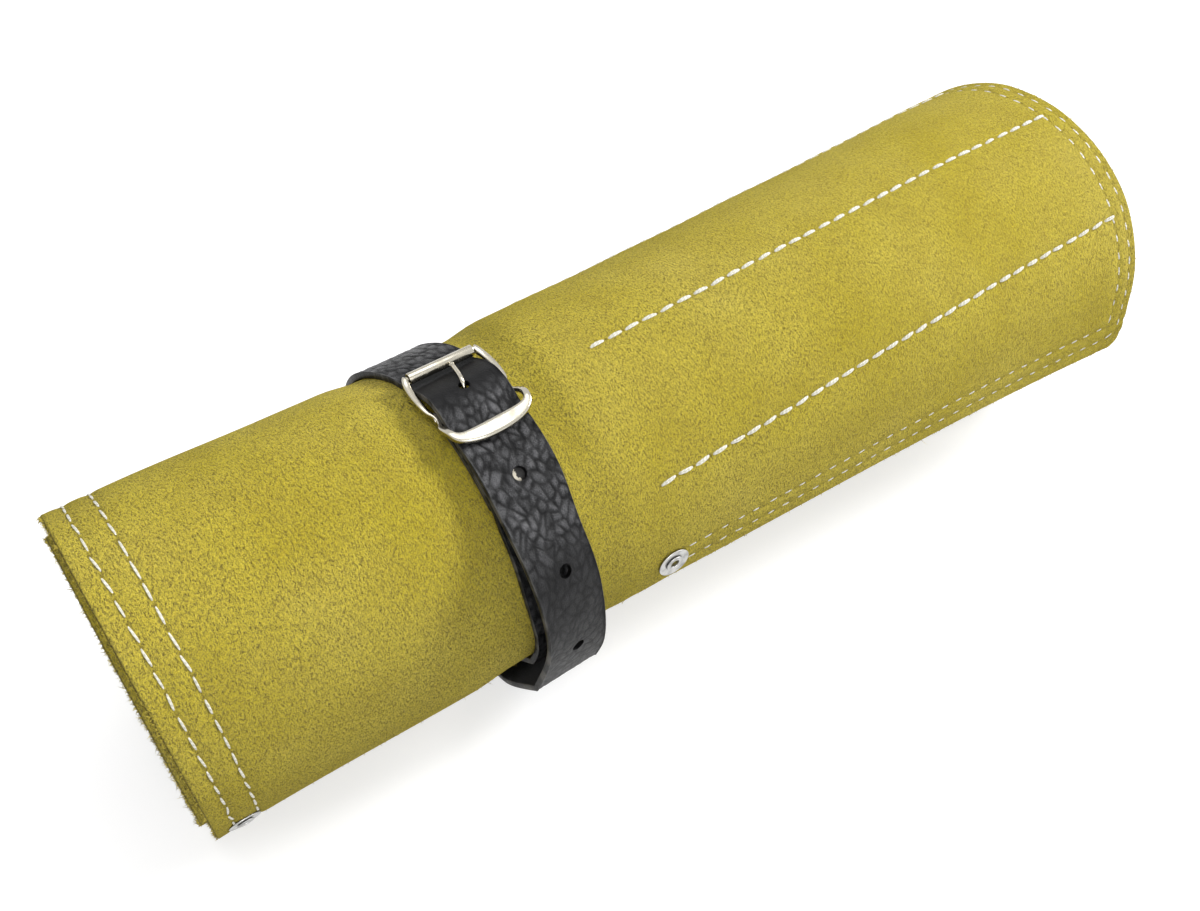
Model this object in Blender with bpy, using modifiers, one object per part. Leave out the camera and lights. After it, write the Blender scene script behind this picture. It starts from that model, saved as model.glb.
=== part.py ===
"""Rolled suede tool roll, closed by one leather strap with a roller buckle.

Units are metres, +Z is up, and the roll lies along X with its free edge on the -Y side.
A place on the flat sheet is (s, x): s runs from the free edge towards the inner end, x across the sheet.
A place on the strap is an angle round the roll, from the front (-Y) over the top.
"""

import math
from functools import lru_cache
from types import SimpleNamespace

import bmesh
import bpy
import numpy as np
from mathutils import Euler, Matrix, Vector

TURN = 2.0 * math.pi

# Sheets
ROLL_WIDTH = 0.305
SHEET_LENGTH = 0.610
SUEDE = 0.0014
PANEL_GAP = 0.0003
PANEL_INSET = 0.0012
POCKET_DEPTH = 0.184
FLAP_DEPTH = 0.076
CORNER_RADIUS = 0.0055

# Section of the roll, from its left end to its right end
LEFT_HALF_WIDTH = 0.0388
RIGHT_HALF_WIDTH = 0.0530
WIDENING_POWER = 2.2
LEFT_HALF_HEIGHT = 0.0506
RIGHT_HALF_HEIGHT = 0.0517
WAIST_PINCH = 0.0031
WAIST_BULGE = 0.0037
WAIST_REACH_LEFT = 0.096
WAIST_REACH_RIGHT = 0.220
LEFT_LEAN = 0.0020
STRAP_LEAN = 0.0035
RIGHT_LEAN = -0.0003
LEFT_PITCH = 0.0048
RIGHT_PITCH = 0.0050
STRAP_PITCH = 0.0038
SETTLE = 0.0009
TELESCOPE = 0.0018
LEFT_EDGE_ANGLE = math.radians(-38.0)
RIGHT_EDGE_ANGLE = math.radians(-15.7)
FLARE = 0.0033
FLARE_REACH = 0.017
FLARE_POWER = 1.3
FLARE_GROWTH_POWER = 0.6

# Facets of the sheets
COLUMNS = 63
EDGE_COLUMN_SHARES = (0.16, 0.32, 0.6)
LEFT_STATIONS = 4
SQUEEZE_STATIONS = 3
RIGHT_STATIONS = 6
CORNER_STRIP = 0.009
RIVET_COLUMN_REACH = 0.0052
RIVET_STATION_REACH = 0.0085
ARC_TABLE_TURNS = 2.8
ARC_TABLE_STEPS = 4000

# Strap
STRAP_X = 0.0928
STRAP_WIDTH = 0.019
STRAP_THICKNESS = 0.0018
SKIVED_THICKNESS = 0.0012
STRAP_BEVEL = 0.0003
SEAT_GAP = 0.0003
LAYER_GAP = 0.00025
STRAP_FLOOR_GAP = 0.0005
STRAP_SQUEEZE = 0.0034
SQUEEZE_MARGIN = 0.003
SQUEEZE_REACH = 0.012
RETURN_LENGTH = 0.0246
RETURN_STEP_LENGTH = 0.006
SKIVE_START = 0.011
SKIVE_END = 0.018
FOLD_SETTLE_LENGTH = 0.005
SLOT_WIDTH = 0.003
SLOT_REACH = 0.0035
PASS_RAMP_START = 0.0105
PASS_RAMP_END = 0.002
PASS_DROP_START = 0.001
PASS_DROP_END = 0.0068
SPLIT_REACH = 0.0138
SPLIT_GAP = 0.0003
STRAP_DRIFT = 0.0022
DRIFT_FROM_ANGLE = math.radians(18.0)
DRIFT_FULL_ANGLE = math.radians(-18.0)
DRIFT_FADE_ANGLE = math.radians(-70.0)
DRIFT_END_ANGLE = math.radians(-130.0)
STRAP_STEP_ANGLE = math.radians(6.0)
STRAP_FINE_STEP = 0.0015
EDGE_PASS_ANGLE = math.radians(4.0)
FOLD_STEPS = 8

# Free end of the strap
TAIL_BOW = 0.0058
TAIL_DEGREES = (65.0, 58.0, 51.0, 43.0, 36.0, 26.0, 16.0, 6.0, -7.0, -21.0, -34.0, -48.0, -57.0, -76.0)
TAIL_BOW_SHARES = (0.0, 0.06, 0.13, 0.18, 0.34, 0.7, 1.0, 1.0, 0.83, 0.68, 0.86, 1.07, 1.15, 1.6)
TAIL_TILT = 0.0022
TAIL_TILT_DEGREES = (50.0, 28.0, 10.0, -18.0)
TAIL_TILT_SHARES = (0.0, 1.0, 1.0, 0.0)
TAIL_FLOOR_GAP = 0.0002
TAIL_FLOOR_BEND = 0.0016
TAIL_TIP_Y = -0.0168
TAIL_STEPS = 34
TAIL_SAMPLES = 272
TIP_ROUNDING = 0.0055
TIP_SHARE = 0.98
HOLE_RADIUS = 0.00175
HOLE_SPACING = 0.0254
SPARE_HOLES = 3

# Buckle, in its own frame: across, u back along the strap from the centre bar, w out from the roll
BUCKLE_ANGLE = math.radians(78.5)
BAR_RADIUS = 0.00075
BAR_CLEARANCE = 0.00015
BAR_SHOULDER_GAP = 0.0003
TENON_RADIUS = 0.0005
TENON_CLEARANCE = 0.00013
PEENED_HEAD_RADIUS = 0.00078
PEENED_HEAD_LENGTH = 0.0004
FRAME_HALF_WIDTH = 0.0120
FRAME_THICKNESS = 0.0018
FRAME_BEVEL = 0.00032
KEEPER_REACH = 0.0124
KEEPER_RISE_LENGTH = 0.007
KEEPER_GAP = 0.00035
END_BAR_REACH = 0.0146
END_BAR_SIZE = 0.0012
ROLLER_RADIUS = 0.00145
ROLLER_BORE_RADIUS = 0.00105
ROLLER_LENGTH = 0.0180
ROLLER_STRAP_GAP = 0.0003
KEEPER_OUTER_SHARES = (
    (0.0, 1.0), (0.3, 0.985), (0.56, 0.93), (0.78, 0.82), (0.92, 0.67), (0.985, 0.48), (1.0, 0.28),
    (0.905, 0.115), (0.892, 0.0),
)
KEEPER_INNER_SHARES = (
    (0.0, 0.605), (0.3, 0.605), (0.52, 0.6), (0.7, 0.59), (0.79, 0.555), (0.84, 0.47), (0.866, 0.26),
    (0.828, 0.11), (0.818, 0.0),
)
SIDE_OUTER_SHARES = (
    (0.905, 0.1), (1.005, 0.24), (1.015, 0.5), (1.015, 0.75), (1.0, 0.96), (0.94, 1.08), (0.85, 1.11),
)
SIDE_INNER_SHARES = (
    (0.828, 0.09), (0.868, 0.22), (0.87, 0.45), (0.86, 0.7), (0.845, 0.85), (0.82, 0.93), (0.8, 0.955),
)

# Prong
PRONG_RADIUS = 0.00055
PRONG_TIP_RADIUS = 0.00075
PRONG_CLEARANCE = 0.00015
PRONG_CURL_START = math.radians(75.0)
PRONG_CURL_END = math.radians(335.0)
PRONG_CURL_POINTS = 12
PRONG_TIP_REACH = 0.0119
PRONG_TIP_HEIGHT = 0.0018
PRONG_HOLE_REACH = 0.0043
PRONG_HOLE_HEIGHT = 0.0044
PRONG_CREST_REACH = 0.0066
PRONG_CREST_HEIGHT = 0.0052
PRONG_SHOULDER_REACH = 0.0097
PRONG_SHOULDER_HEIGHT = 0.0041
PRONG_HOLE_ANGLE = math.radians(40.0)
PRONG_HOLE_DEPTH = 0.0018
PRONG_HOLE_OUT = 0.0030
PRONG_POINTS = 10
PRONG_BALL_SHARES = (-0.68, -0.4, 0.0, 0.4, 0.75, 0.97)

# Tubular rivets and their washers
RIVET_X = 0.1285
RIVET_FROM_EDGE = 0.0073
FLAP_RIVET_X = 0.0071
WASHER_RADIUS = 0.0047
WASHER_BORE_RADIUS = 0.00215
WASHER_THICKNESS = 0.0004
WASHER_DISH = 0.00015
WASHER_LIFT = 0.0002
RIVET_TUBE_RADIUS = 0.0019
RIVET_BORE_RADIUS = 0.00125
RIVET_RIM_RADIUS = 0.00258
RIVET_RIM_LOW = 0.0008
RIVET_RIM_TOP = 0.00125
RIVET_HEAD_RADIUS = 0.0047
RIVET_HEAD_THICKNESS = 0.0005
RIVET_HEAD_GAP = 0.00025
RIVET_HOLE_CLEARANCE = 0.0003
TURNED_STEPS = 16

# Solid rivets of the strap
BURR_SHANK_RADIUS = 0.0011
BURR_HEAD_RADIUS = 0.0030
BURR_HEAD_RIM = 0.0002
BURR_HEAD_HEIGHT = 0.0004
BURR_HEAD_GAP = 0.00015
BURR_WASHER_RADIUS = 0.0029
BURR_WASHER_THICKNESS = 0.0005
BURR_WASHER_GAP = 0.0005
BURR_END_LENGTH = 0.0003
BURR_CLEARANCE = 0.0002
FOLD_RIVET_REACH = 0.0207
ANCHOR_RIVET_ANGLE = math.radians(5.0)

CUT_OVERRUN = 0.001
MERGE = 0.00001
COLLECTION_NAME = "tool_roll"


def smoothstep(value, start, end):
    """0 before start, 1 past end and an eased rise between them."""
    share = np.clip((value - start) / (end - start), 0.0, 1.0)
    return share * share * (3.0 - 2.0 * share)


def eased(value, places, levels):
    """Level at a place, eased from each knot to the next; the places rise."""
    result = np.full(np.shape(value), float(levels[0]))
    for index in range(1, len(places)):
        step = levels[index] - levels[index - 1]
        result = result + step * smoothstep(value, places[index - 1], places[index])
    return result


def falling_level(angles, degrees, levels):
    """Level at each angle, eased between knots given in falling degrees."""
    return eased(-np.degrees(angles), [-knot for knot in degrees], levels)


def window(distance, reach):
    """1 at no distance, falling to 0 at the reach as a squared cosine."""
    return np.cos(0.5 * math.pi * np.clip(distance / reach, 0.0, 1.0)) ** 2


def grip(x):
    """How far the strap holds the roll at x: 1 under the strap, 0 well away from it."""
    beside = np.maximum(np.abs(x - STRAP_X) - 0.5 * STRAP_WIDTH - SQUEEZE_MARGIN, 0.0)
    return window(beside, SQUEEZE_REACH)


def waist(x):
    """How much of the waist's low, wide shape the roll has at x: 1 at the strap, 0 well away from it."""
    reach = np.where(x < STRAP_X, WAIST_REACH_LEFT, WAIST_REACH_RIGHT)
    return window(np.abs(x - STRAP_X), reach)


def free_half_width(x):
    widening = (RIGHT_HALF_WIDTH - LEFT_HALF_WIDTH) * (x / ROLL_WIDTH) ** WIDENING_POWER
    return LEFT_HALF_WIDTH + widening + WAIST_BULGE * waist(x)


def free_half_height(x):
    growth = (RIGHT_HALF_HEIGHT - LEFT_HALF_HEIGHT) * x / ROLL_WIDTH
    return LEFT_HALF_HEIGHT + growth - WAIST_PINCH * waist(x)


def free_lean(x):
    """How far back the middle of the section lies at x."""
    return np.interp(x, (0.0, STRAP_X, ROLL_WIDTH), (LEFT_LEAN, STRAP_LEAN, RIGHT_LEAN))


def free_pitch(x):
    return LEFT_PITCH + (RIGHT_PITCH - LEFT_PITCH) * x / ROLL_WIDTH


def free_edge_angle(x):
    share = np.clip(x / RIVET_X, 0.0, 1.0)
    return LEFT_EDGE_ANGLE + (RIGHT_EDGE_ANGLE - LEFT_EDGE_ANGLE) * share


def section(x):
    """Sizes of the spiral section at x, all of them constant across the strap."""
    held = grip(x)

    def mixed(rule, under_strap):
        return (1.0 - held) * rule(x) + held * under_strap

    half_width = mixed(free_half_width, free_half_width(STRAP_X))
    half_height = mixed(free_half_height, free_half_height(STRAP_X) - STRAP_SQUEEZE)
    pitch = mixed(free_pitch, STRAP_PITCH)
    edge_angle = mixed(free_edge_angle, free_edge_angle(STRAP_X))
    underside = held * (STRAP_FLOOR_GAP + STRAP_THICKNESS + SEAT_GAP)
    bottom_turns = (0.75 * TURN - edge_angle) / TURN
    return SimpleNamespace(
        lean=mixed(free_lean, STRAP_LEAN),
        half_width=half_width,
        half_height=half_height,
        pitch=pitch,
        edge_angle=edge_angle,
        underside=underside,
        bottom_turns=bottom_turns,
        centre=underside + half_height - pitch * bottom_turns - SETTLE,
    )


def section_point(turned, x, depth, flare=0.0):
    """(y, z) on the spiral, turned radians from the free edge and depth in from the outer face."""
    part = section(x)
    turns = turned / TURN
    angle = part.edge_angle + turned
    inset = part.pitch * turns + depth - flare
    y = part.lean - (part.half_width - inset) * np.cos(angle)
    z = part.centre + (part.half_height - inset) * np.sin(angle)
    layer = np.round(turns - part.bottom_turns)
    return y, np.maximum(z, part.underside + part.pitch * layer + depth)


@lru_cache(maxsize=None)
def arc_table(x):
    """Turned angles and the lengths of sheet that they use, at one x."""
    turned = np.linspace(0.0, ARC_TABLE_TURNS * TURN, ARC_TABLE_STEPS)
    y, z = section_point(turned, x, 0.5 * SUEDE)
    lengths = np.concatenate(([0.0], np.cumsum(np.hypot(np.diff(y), np.diff(z)))))
    return turned, lengths


def sheet_point(s, x, depth):
    """Place of the rolled sheet at (s, x), depth in from its outer face."""
    turned_angles, lengths = arc_table(float(x))
    turned = np.interp(s, lengths, turned_angles)
    flare_start = STRAP_X + 0.5 * STRAP_WIDTH + SQUEEZE_MARGIN + SQUEEZE_REACH
    beyond = max(x - flare_start, 0.0) / (ROLL_WIDTH - flare_start)
    curl = max(1.0 - s / FLARE_REACH, 0.0) ** FLARE_POWER
    y, z = section_point(turned, x, depth, FLARE * beyond ** FLARE_GROWTH_POWER * curl)
    return Vector((x - TELESCOPE * min(turned / TURN, 1.0), y, z))


def sheet_normal(s, x):
    """Outward normal of the rolled sheet at (s, x)."""
    along = sheet_point(s + SUEDE, x, 0.0) - sheet_point(s - SUEDE, x, 0.0)
    across = sheet_point(s, x + SUEDE, 0.0) - sheet_point(s, x - SUEDE, 0.0)
    return across.cross(along).normalized()


def column_places(first, last):
    """Places along the sheet of its facet columns, closer together at the free edge."""
    edge_columns = [share * FLARE_REACH for share in EDGE_COLUMN_SHARES]
    panel_ends = [PANEL_INSET, SHEET_LENGTH - PANEL_INSET]
    rivet = SHEET_LENGTH - RIVET_FROM_EDGE
    even_columns = list(np.linspace(FLARE_REACH, rivet - RIVET_COLUMN_REACH, COLUMNS))
    columns = sorted(edge_columns + panel_ends + even_columns + [rivet])
    return [first] + [place for place in columns if first < place < last] + [last]


def station_places(first, last):
    """Places across the sheet of its facet rows, with rows where the strap's squeeze starts and ends."""
    band = 0.5 * STRAP_WIDTH + SQUEEZE_MARGIN
    left = np.linspace(0.0, STRAP_X - band - SQUEEZE_REACH, LEFT_STATIONS)
    falling = np.linspace(STRAP_X - band - SQUEEZE_REACH, STRAP_X - band, SQUEEZE_STATIONS)
    rising = np.linspace(STRAP_X + band, STRAP_X + band + SQUEEZE_REACH, SQUEEZE_STATIONS)
    right = np.linspace(STRAP_X + band + SQUEEZE_REACH, ROLL_WIDTH - CORNER_STRIP, RIGHT_STATIONS)
    panel_edges = (FLAP_DEPTH, ROLL_WIDTH - POCKET_DEPTH)
    past_rivets = (FLAP_RIVET_X + RIVET_STATION_REACH, RIVET_X + RIVET_STATION_REACH)
    stations = sorted(set(np.concatenate((left, falling, rising, right, panel_edges, past_rivets))))
    return [first] + [place for place in stations if first < place < last] + [last]


def corner_inset(s, radius):
    """How far the rounded outer corner draws the right edge in, at s from the corner."""
    short = max(radius - s, 0.0)
    return radius - math.sqrt(radius * radius - short * short)


def material(name, colour, roughness, metallic=0.0):
    made = bpy.data.materials.new(name)
    made.use_nodes = True
    shader = made.node_tree.nodes["Principled BSDF"]
    shader.inputs["Base Color"].default_value = (*colour, 1.0)
    shader.inputs["Roughness"].default_value = roughness
    shader.inputs["Metallic"].default_value = metallic
    made.diffuse_color = (*colour, 1.0)
    return made


def suede_material(name):
    return material(name, (0.42, 0.40, 0.06), 0.95)


def leather_material(name):
    return material(name, (0.02, 0.02, 0.022), 0.5)


def nickel_material(name):
    return material(name, (0.78, 0.78, 0.76), 0.16, 1.0)


def zinc_material(name):
    return material(name, (0.48, 0.48, 0.50), 0.38, 1.0)


def add_object(name, data, finish, scene_parts, matrix=None):
    """Piece of the roll from a mesh or curve, placed by a matrix, with its own material."""
    data.materials.append(finish)
    made = bpy.data.objects.new(name, data)
    made.parent = scene_parts.root
    if matrix is not None:
        made.location = matrix.translation
        made.rotation_euler = matrix.to_euler()
    scene_parts.parts.objects.link(made)
    return made


def add_cutter(name, mesh, scene_parts, matrix):
    """Hidden wire object that a Boolean takes away."""
    cutter = bpy.data.objects.new(name, mesh)
    cutter.parent = scene_parts.root
    cutter.matrix_local = matrix
    cutter.hide_render = True
    cutter.display_type = "WIRE"
    scene_parts.cutters.objects.link(cutter)
    return cutter


def cut(target, cutter):
    modifier = target.modifiers.new("cut " + cutter.name, "BOOLEAN")
    modifier.operation = "DIFFERENCE"
    modifier.solver = "EXACT"
    modifier.object = cutter


def add_solidify(target, thickness, group=""):
    modifier = target.modifiers.new("thickness", "SOLIDIFY")
    modifier.thickness = thickness
    modifier.offset = 0.0
    modifier.use_even_offset = True
    modifier.vertex_group = group


def add_bevel(target, width, segments):
    modifier = target.modifiers.new("rounded edges", "BEVEL")
    modifier.width = width
    modifier.segments = segments
    modifier.limit_method = "ANGLE"
    modifier.angle_limit = math.radians(50.0)


def cylinder_mesh(name, radius, low, high, steps):
    """Closed cylinder along Z from low to high."""
    shape = bmesh.new()
    bmesh.ops.create_cone(
        shape, cap_ends=True, segments=steps, radius1=radius, radius2=radius, depth=high - low,
        matrix=Matrix.Translation((0.0, 0.0, 0.5 * (low + high))),
    )
    mesh = bpy.data.meshes.new(name)
    shape.to_mesh(mesh)
    shape.free()
    return mesh


def strip_mesh(name, rows, columns, place):
    """Grid of rows by columns, its points place(row, column), with each point's row as an attribute."""
    shape = bmesh.new()
    bmesh.ops.create_grid(shape, x_segments=columns - 1, y_segments=rows - 1, size=1.0)
    row_layer = shape.verts.layers.int.new("row")
    for vertex in shape.verts:
        column = round(0.5 * (vertex.co.x + 1.0) * (columns - 1))
        row = round(0.5 * (vertex.co.y + 1.0) * (rows - 1))
        vertex[row_layer] = row
        vertex.co = place(row, column)
    mesh = bpy.data.meshes.new(name)
    shape.to_mesh(mesh)
    shape.free()
    mesh.shade_smooth()
    return mesh


def turned_object(name, profile, finish, scene_parts, matrix):
    """Solid turned about its Z from (radius, height) points: from axis to axis, or round a ring."""
    points = [(radius, 0.0, height) for radius, height in profile]
    edges = [(index, index + 1) for index in range(len(points) - 1)]
    if profile[0][0] > 0.0:
        edges.append((len(points) - 1, 0))
    mesh = bpy.data.meshes.new(name)
    mesh.from_pydata(points, edges, [])
    made = add_object(name, mesh, finish, scene_parts, matrix)
    modifier = made.modifiers.new("turned", "SCREW")
    modifier.steps = TURNED_STEPS
    modifier.render_steps = TURNED_STEPS
    modifier.use_merge_vertices = True
    modifier.merge_threshold = MERGE
    return made


def sheet_panel(name, finish, scene_parts, columns, stations, depth, corner_radius):
    """Panel of the rolled sheet over the given columns and stations, its outer right corner rounded."""

    def place(row, column):
        s = columns[row]
        x = stations[column]
        if column == len(stations) - 1 and corner_radius > 0.0:
            x = x - corner_inset(s - columns[0], corner_radius)
        return sheet_point(s, x, depth + 0.5 * SUEDE)

    mesh = strip_mesh(name, len(columns), len(stations), place)
    panel = add_object(name, mesh, finish, scene_parts)
    add_solidify(panel, SUEDE)
    return panel


def build_back_panel(scene_parts):
    columns = column_places(0.0, SHEET_LENGTH)
    stations = station_places(0.0, ROLL_WIDTH)
    finish = suede_material("back panel suede")
    return sheet_panel("back_panel", finish, scene_parts, columns, stations, 0.0, CORNER_RADIUS)


def build_pocket_panel(scene_parts):
    columns = column_places(PANEL_INSET, SHEET_LENGTH - PANEL_INSET)
    stations = station_places(ROLL_WIDTH - POCKET_DEPTH, ROLL_WIDTH - PANEL_INSET)
    finish = suede_material("pocket panel suede")
    depth = SUEDE + PANEL_GAP
    return sheet_panel("pocket_panel", finish, scene_parts, columns, stations, depth, CORNER_RADIUS)


def build_flap_panel(scene_parts):
    columns = column_places(PANEL_INSET, SHEET_LENGTH - PANEL_INSET)
    stations = station_places(PANEL_INSET, FLAP_DEPTH)
    finish = suede_material("flap panel suede")
    return sheet_panel("flap_panel", finish, scene_parts, columns, stations, SUEDE + PANEL_GAP, 0.0)


def strap_ground(angle, lift):
    """(y, z) at a height above the roll's outer face under the strap.

    Below the free edge the angle runs on to a whole turn less, on the face one pitch further in.
    Just there the strap spans the step tangentially, which is a parabola in the angle.
    """
    held = section(STRAP_X)
    above_edge = angle >= held.edge_angle
    turned = np.where(above_edge, angle - held.edge_angle, angle - held.edge_angle + TURN)
    y, z = section_point(turned, STRAP_X, 0.0)
    span = math.sqrt(2.0 * held.pitch / held.half_width)
    climb = np.clip((angle - held.edge_angle + span + EDGE_PASS_ANGLE) / span, 0.0, 1.0) ** 2
    height = lift + np.where(above_edge, 0.0, held.pitch * climb)
    normal_y = -held.half_height * np.cos(angle)
    normal_z = held.half_width * np.sin(angle)
    length = np.hypot(normal_y, normal_z)
    return y + height * normal_y / length, z + height * normal_z / length


def buckle_place():
    """Origin on the roll's face at the centre bar, with the unit directions u and w as (y, z)."""
    held = section(STRAP_X)
    origin = np.array(strap_ground(BUCKLE_ANGLE, 0.0))
    outward = np.array(strap_ground(BUCKLE_ANGLE, held.half_width)) - origin
    outward = outward / np.linalg.norm(outward)
    return origin, np.array((outward[1], -outward[0])), outward


def angle_at(reach):
    """Angle on the roll at a distance behind the centre bar."""
    return BUCKLE_ANGLE + reach / section(STRAP_X).half_width


def height_over_bar(reach, lift):
    """Height w in the buckle's frame of a point lifted off the roll's curved face."""
    origin, _, outward = buckle_place()
    y, z = strap_ground(angle_at(reach), lift)
    return (y - origin[0]) * outward[0] + (z - origin[1]) * outward[1]


def bar_height():
    return LAYER_GAP + SKIVED_THICKNESS + BAR_CLEARANCE + BAR_RADIUS


def fold_radius():
    """Radius of the middle of the strap's fold round the centre bar."""
    return BAR_RADIUS + BAR_CLEARANCE + 0.5 * SKIVED_THICKNESS


def strap_profile(travel):
    """Height of the strap's inner face and its thickness, travel radians on from the centre bar."""
    radius = section(STRAP_X).half_width
    over_bar = bar_height() + BAR_RADIUS + BAR_CLEARANCE
    over_return = 2.0 * LAYER_GAP + SKIVED_THICKNESS
    over_fold = over_bar + SKIVED_THICKNESS + LAYER_GAP
    under_keeper = over_return + SKIVED_THICKNESS + LAYER_GAP
    places = (
        0.0,
        FOLD_SETTLE_LENGTH / radius,
        RETURN_LENGTH / radius,
        (RETURN_LENGTH + RETURN_STEP_LENGTH) / radius,
        TURN - PASS_RAMP_START / radius,
        TURN - PASS_RAMP_END / radius,
        TURN + PASS_DROP_START / radius,
        TURN + PASS_DROP_END / radius,
    )
    levels = (over_bar, over_return, over_return, SEAT_GAP, SEAT_GAP, over_fold, over_fold, under_keeper)
    inner = eased(travel, places, levels)
    skive = smoothstep(travel, SKIVE_START / radius, SKIVE_END / radius)
    thickness = SKIVED_THICKNESS + (STRAP_THICKNESS - SKIVED_THICKNESS) * skive
    return inner, thickness


def strap_drift(travel):
    """Sideways drift of the strap on the roll's lower front."""
    angle = BUCKLE_ANGLE - travel
    leaving = 1.0 - smoothstep(angle, DRIFT_FULL_ANGLE, DRIFT_FROM_ANGLE)
    coming_back = smoothstep(angle, DRIFT_END_ANGLE, DRIFT_FADE_ANGLE)
    return STRAP_DRIFT * leaving * coming_back


def strap_travels():
    """Travels along the strap from the centre bar to the split, closer together near the buckle."""
    radius = section(STRAP_X).half_width
    fine = STRAP_FINE_STEP / radius
    settled = (RETURN_LENGTH + RETURN_STEP_LENGTH) / radius
    ramp = TURN - (PASS_RAMP_START + STRAP_FINE_STEP) / radius
    split = TURN + SPLIT_REACH / radius
    leaving = np.linspace(0.0, settled, math.ceil(0.5 * settled / fine))
    round_the_roll = np.linspace(settled, ramp, math.ceil((ramp - settled) / STRAP_STEP_ANGLE))
    coming_over = np.linspace(ramp, split, math.ceil((split - ramp) / fine))
    return np.concatenate((leaving, round_the_roll[1:], coming_over[1:]))


def strap_path():
    """Rows of the fixed strap, x, y, z and thickness, from the end of the return to the split."""
    origin, along, outward = buckle_place()
    radius = section(STRAP_X).half_width
    rows = []
    for reach in np.linspace(-RETURN_LENGTH, 0.0, FOLD_STEPS)[:-1]:
        y, z = strap_ground(angle_at(reach), LAYER_GAP + 0.5 * SKIVED_THICKNESS)
        rows.append((STRAP_X, float(y), float(z), SKIVED_THICKNESS))
    for turn_share in np.linspace(-0.25, 0.25, FOLD_STEPS + 1)[:-1]:
        u = fold_radius() * math.cos(turn_share * TURN)
        w = bar_height() + fold_radius() * math.sin(turn_share * TURN)
        y, z = origin + u * along + w * outward
        rows.append((STRAP_X, float(y), float(z), SKIVED_THICKNESS))
    for travel in strap_travels():
        inner, thickness = strap_profile(travel)
        y, z = strap_ground(BUCKLE_ANGLE - travel, inner + 0.5 * thickness)
        rows.append((STRAP_X + float(strap_drift(travel)), float(y), float(z), float(thickness)))
    return rows


def tail_path():
    """Rows of the free end, from the split to the tip: y, z, and the outward normal's y, z."""
    radius = section(STRAP_X).half_width
    start = BUCKLE_ANGLE - (SPLIT_REACH + SPLIT_GAP) / radius
    angles = np.linspace(start, math.radians(TAIL_DEGREES[-1]), TAIL_SAMPLES)
    inner, thickness = strap_profile(BUCKLE_ANGLE - angles)
    bow = TAIL_BOW * falling_level(angles, TAIL_DEGREES, TAIL_BOW_SHARES)
    y, z = strap_ground(angles, inner + thickness + LAYER_GAP + bow + 0.5 * STRAP_THICKNESS)
    rest = TAIL_FLOOR_GAP + 0.5 * STRAP_THICKNESS
    above = z - rest
    z = rest + 0.5 * (above + np.sqrt(above * above + TAIL_FLOOR_BEND * TAIL_FLOOR_BEND))
    kept = (angles > 0.0) | (y < TAIL_TIP_Y)
    y, z, angles = y[kept], z[kept], angles[kept]
    lengths = np.concatenate(([0.0], np.cumsum(np.hypot(np.diff(y), np.diff(z)))))
    places = np.linspace(0.0, lengths[-1], TAIL_STEPS)
    y = np.interp(places, lengths, y)
    z = np.interp(places, lengths, z)
    angles = np.interp(places, lengths, angles)
    slope_y, slope_z = np.gradient(y), np.gradient(z)
    slope = np.hypot(slope_y, slope_z)
    return SimpleNamespace(
        lengths=places, y=y, z=z, normal_y=slope_z / slope, normal_z=-slope_y / slope, angles=angles
    )


def tail_hinge():
    """Point of the split on the outer face of the strap, where the tail bends."""
    radius = section(STRAP_X).half_width
    inner, _ = strap_profile(TURN + SPLIT_REACH / radius)
    y, z = strap_ground(angle_at(-SPLIT_REACH), inner + STRAP_THICKNESS)
    return Vector((STRAP_X, float(y), float(z)))


def build_strap(scene_parts):
    """Strap from the end folded round the centre bar, round the roll, to the split past the keeper."""
    rows = strap_path()

    def place(row, column):
        x, y, z, _ = rows[row]
        return (x + (column - 0.5) * STRAP_WIDTH, y, z)

    mesh = strip_mesh("strap", len(rows), 2, place)
    strap = add_object("strap", mesh, leather_material("strap leather"), scene_parts)
    group = strap.vertex_groups.new(name="thickness")
    for index, item in enumerate(mesh.attributes["row"].data):
        group.add([index], rows[item.value][3] / STRAP_THICKNESS, "REPLACE")
    add_solidify(strap, STRAP_THICKNESS, "thickness")
    return strap


def build_strap_tail(scene_parts):
    """Free end of the strap, bowed off the roll's front, with its spare holes and rounded tip."""
    path = tail_path()
    hinge = tail_hinge()
    tilt = TAIL_TILT * falling_level(path.angles, TAIL_TILT_DEGREES, TAIL_TILT_SHARES)
    total = path.lengths[-1]

    def place(row, column):
        from_tip = total - path.lengths[row]
        short = max(TIP_ROUNDING - from_tip, 0.0)
        narrowing = TIP_ROUNDING - math.sqrt(TIP_ROUNDING * TIP_ROUNDING - TIP_SHARE * short * short)
        across = column - 0.5
        out = -2.0 * across * tilt[row]
        x = across * (STRAP_WIDTH - 2.0 * narrowing)
        y = path.y[row] + out * path.normal_y[row]
        z = path.z[row] + out * path.normal_z[row]
        return (x, y - hinge.y, z - hinge.z)

    mesh = strip_mesh("strap_tail", TAIL_STEPS, 2, place)
    tail = add_object("strap_tail", mesh, leather_material("strap tail leather"), scene_parts,
                      Matrix.Translation(hinge))
    add_solidify(tail, STRAP_THICKNESS)
    add_bevel(tail, STRAP_BEVEL, 1)
    return tail


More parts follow.
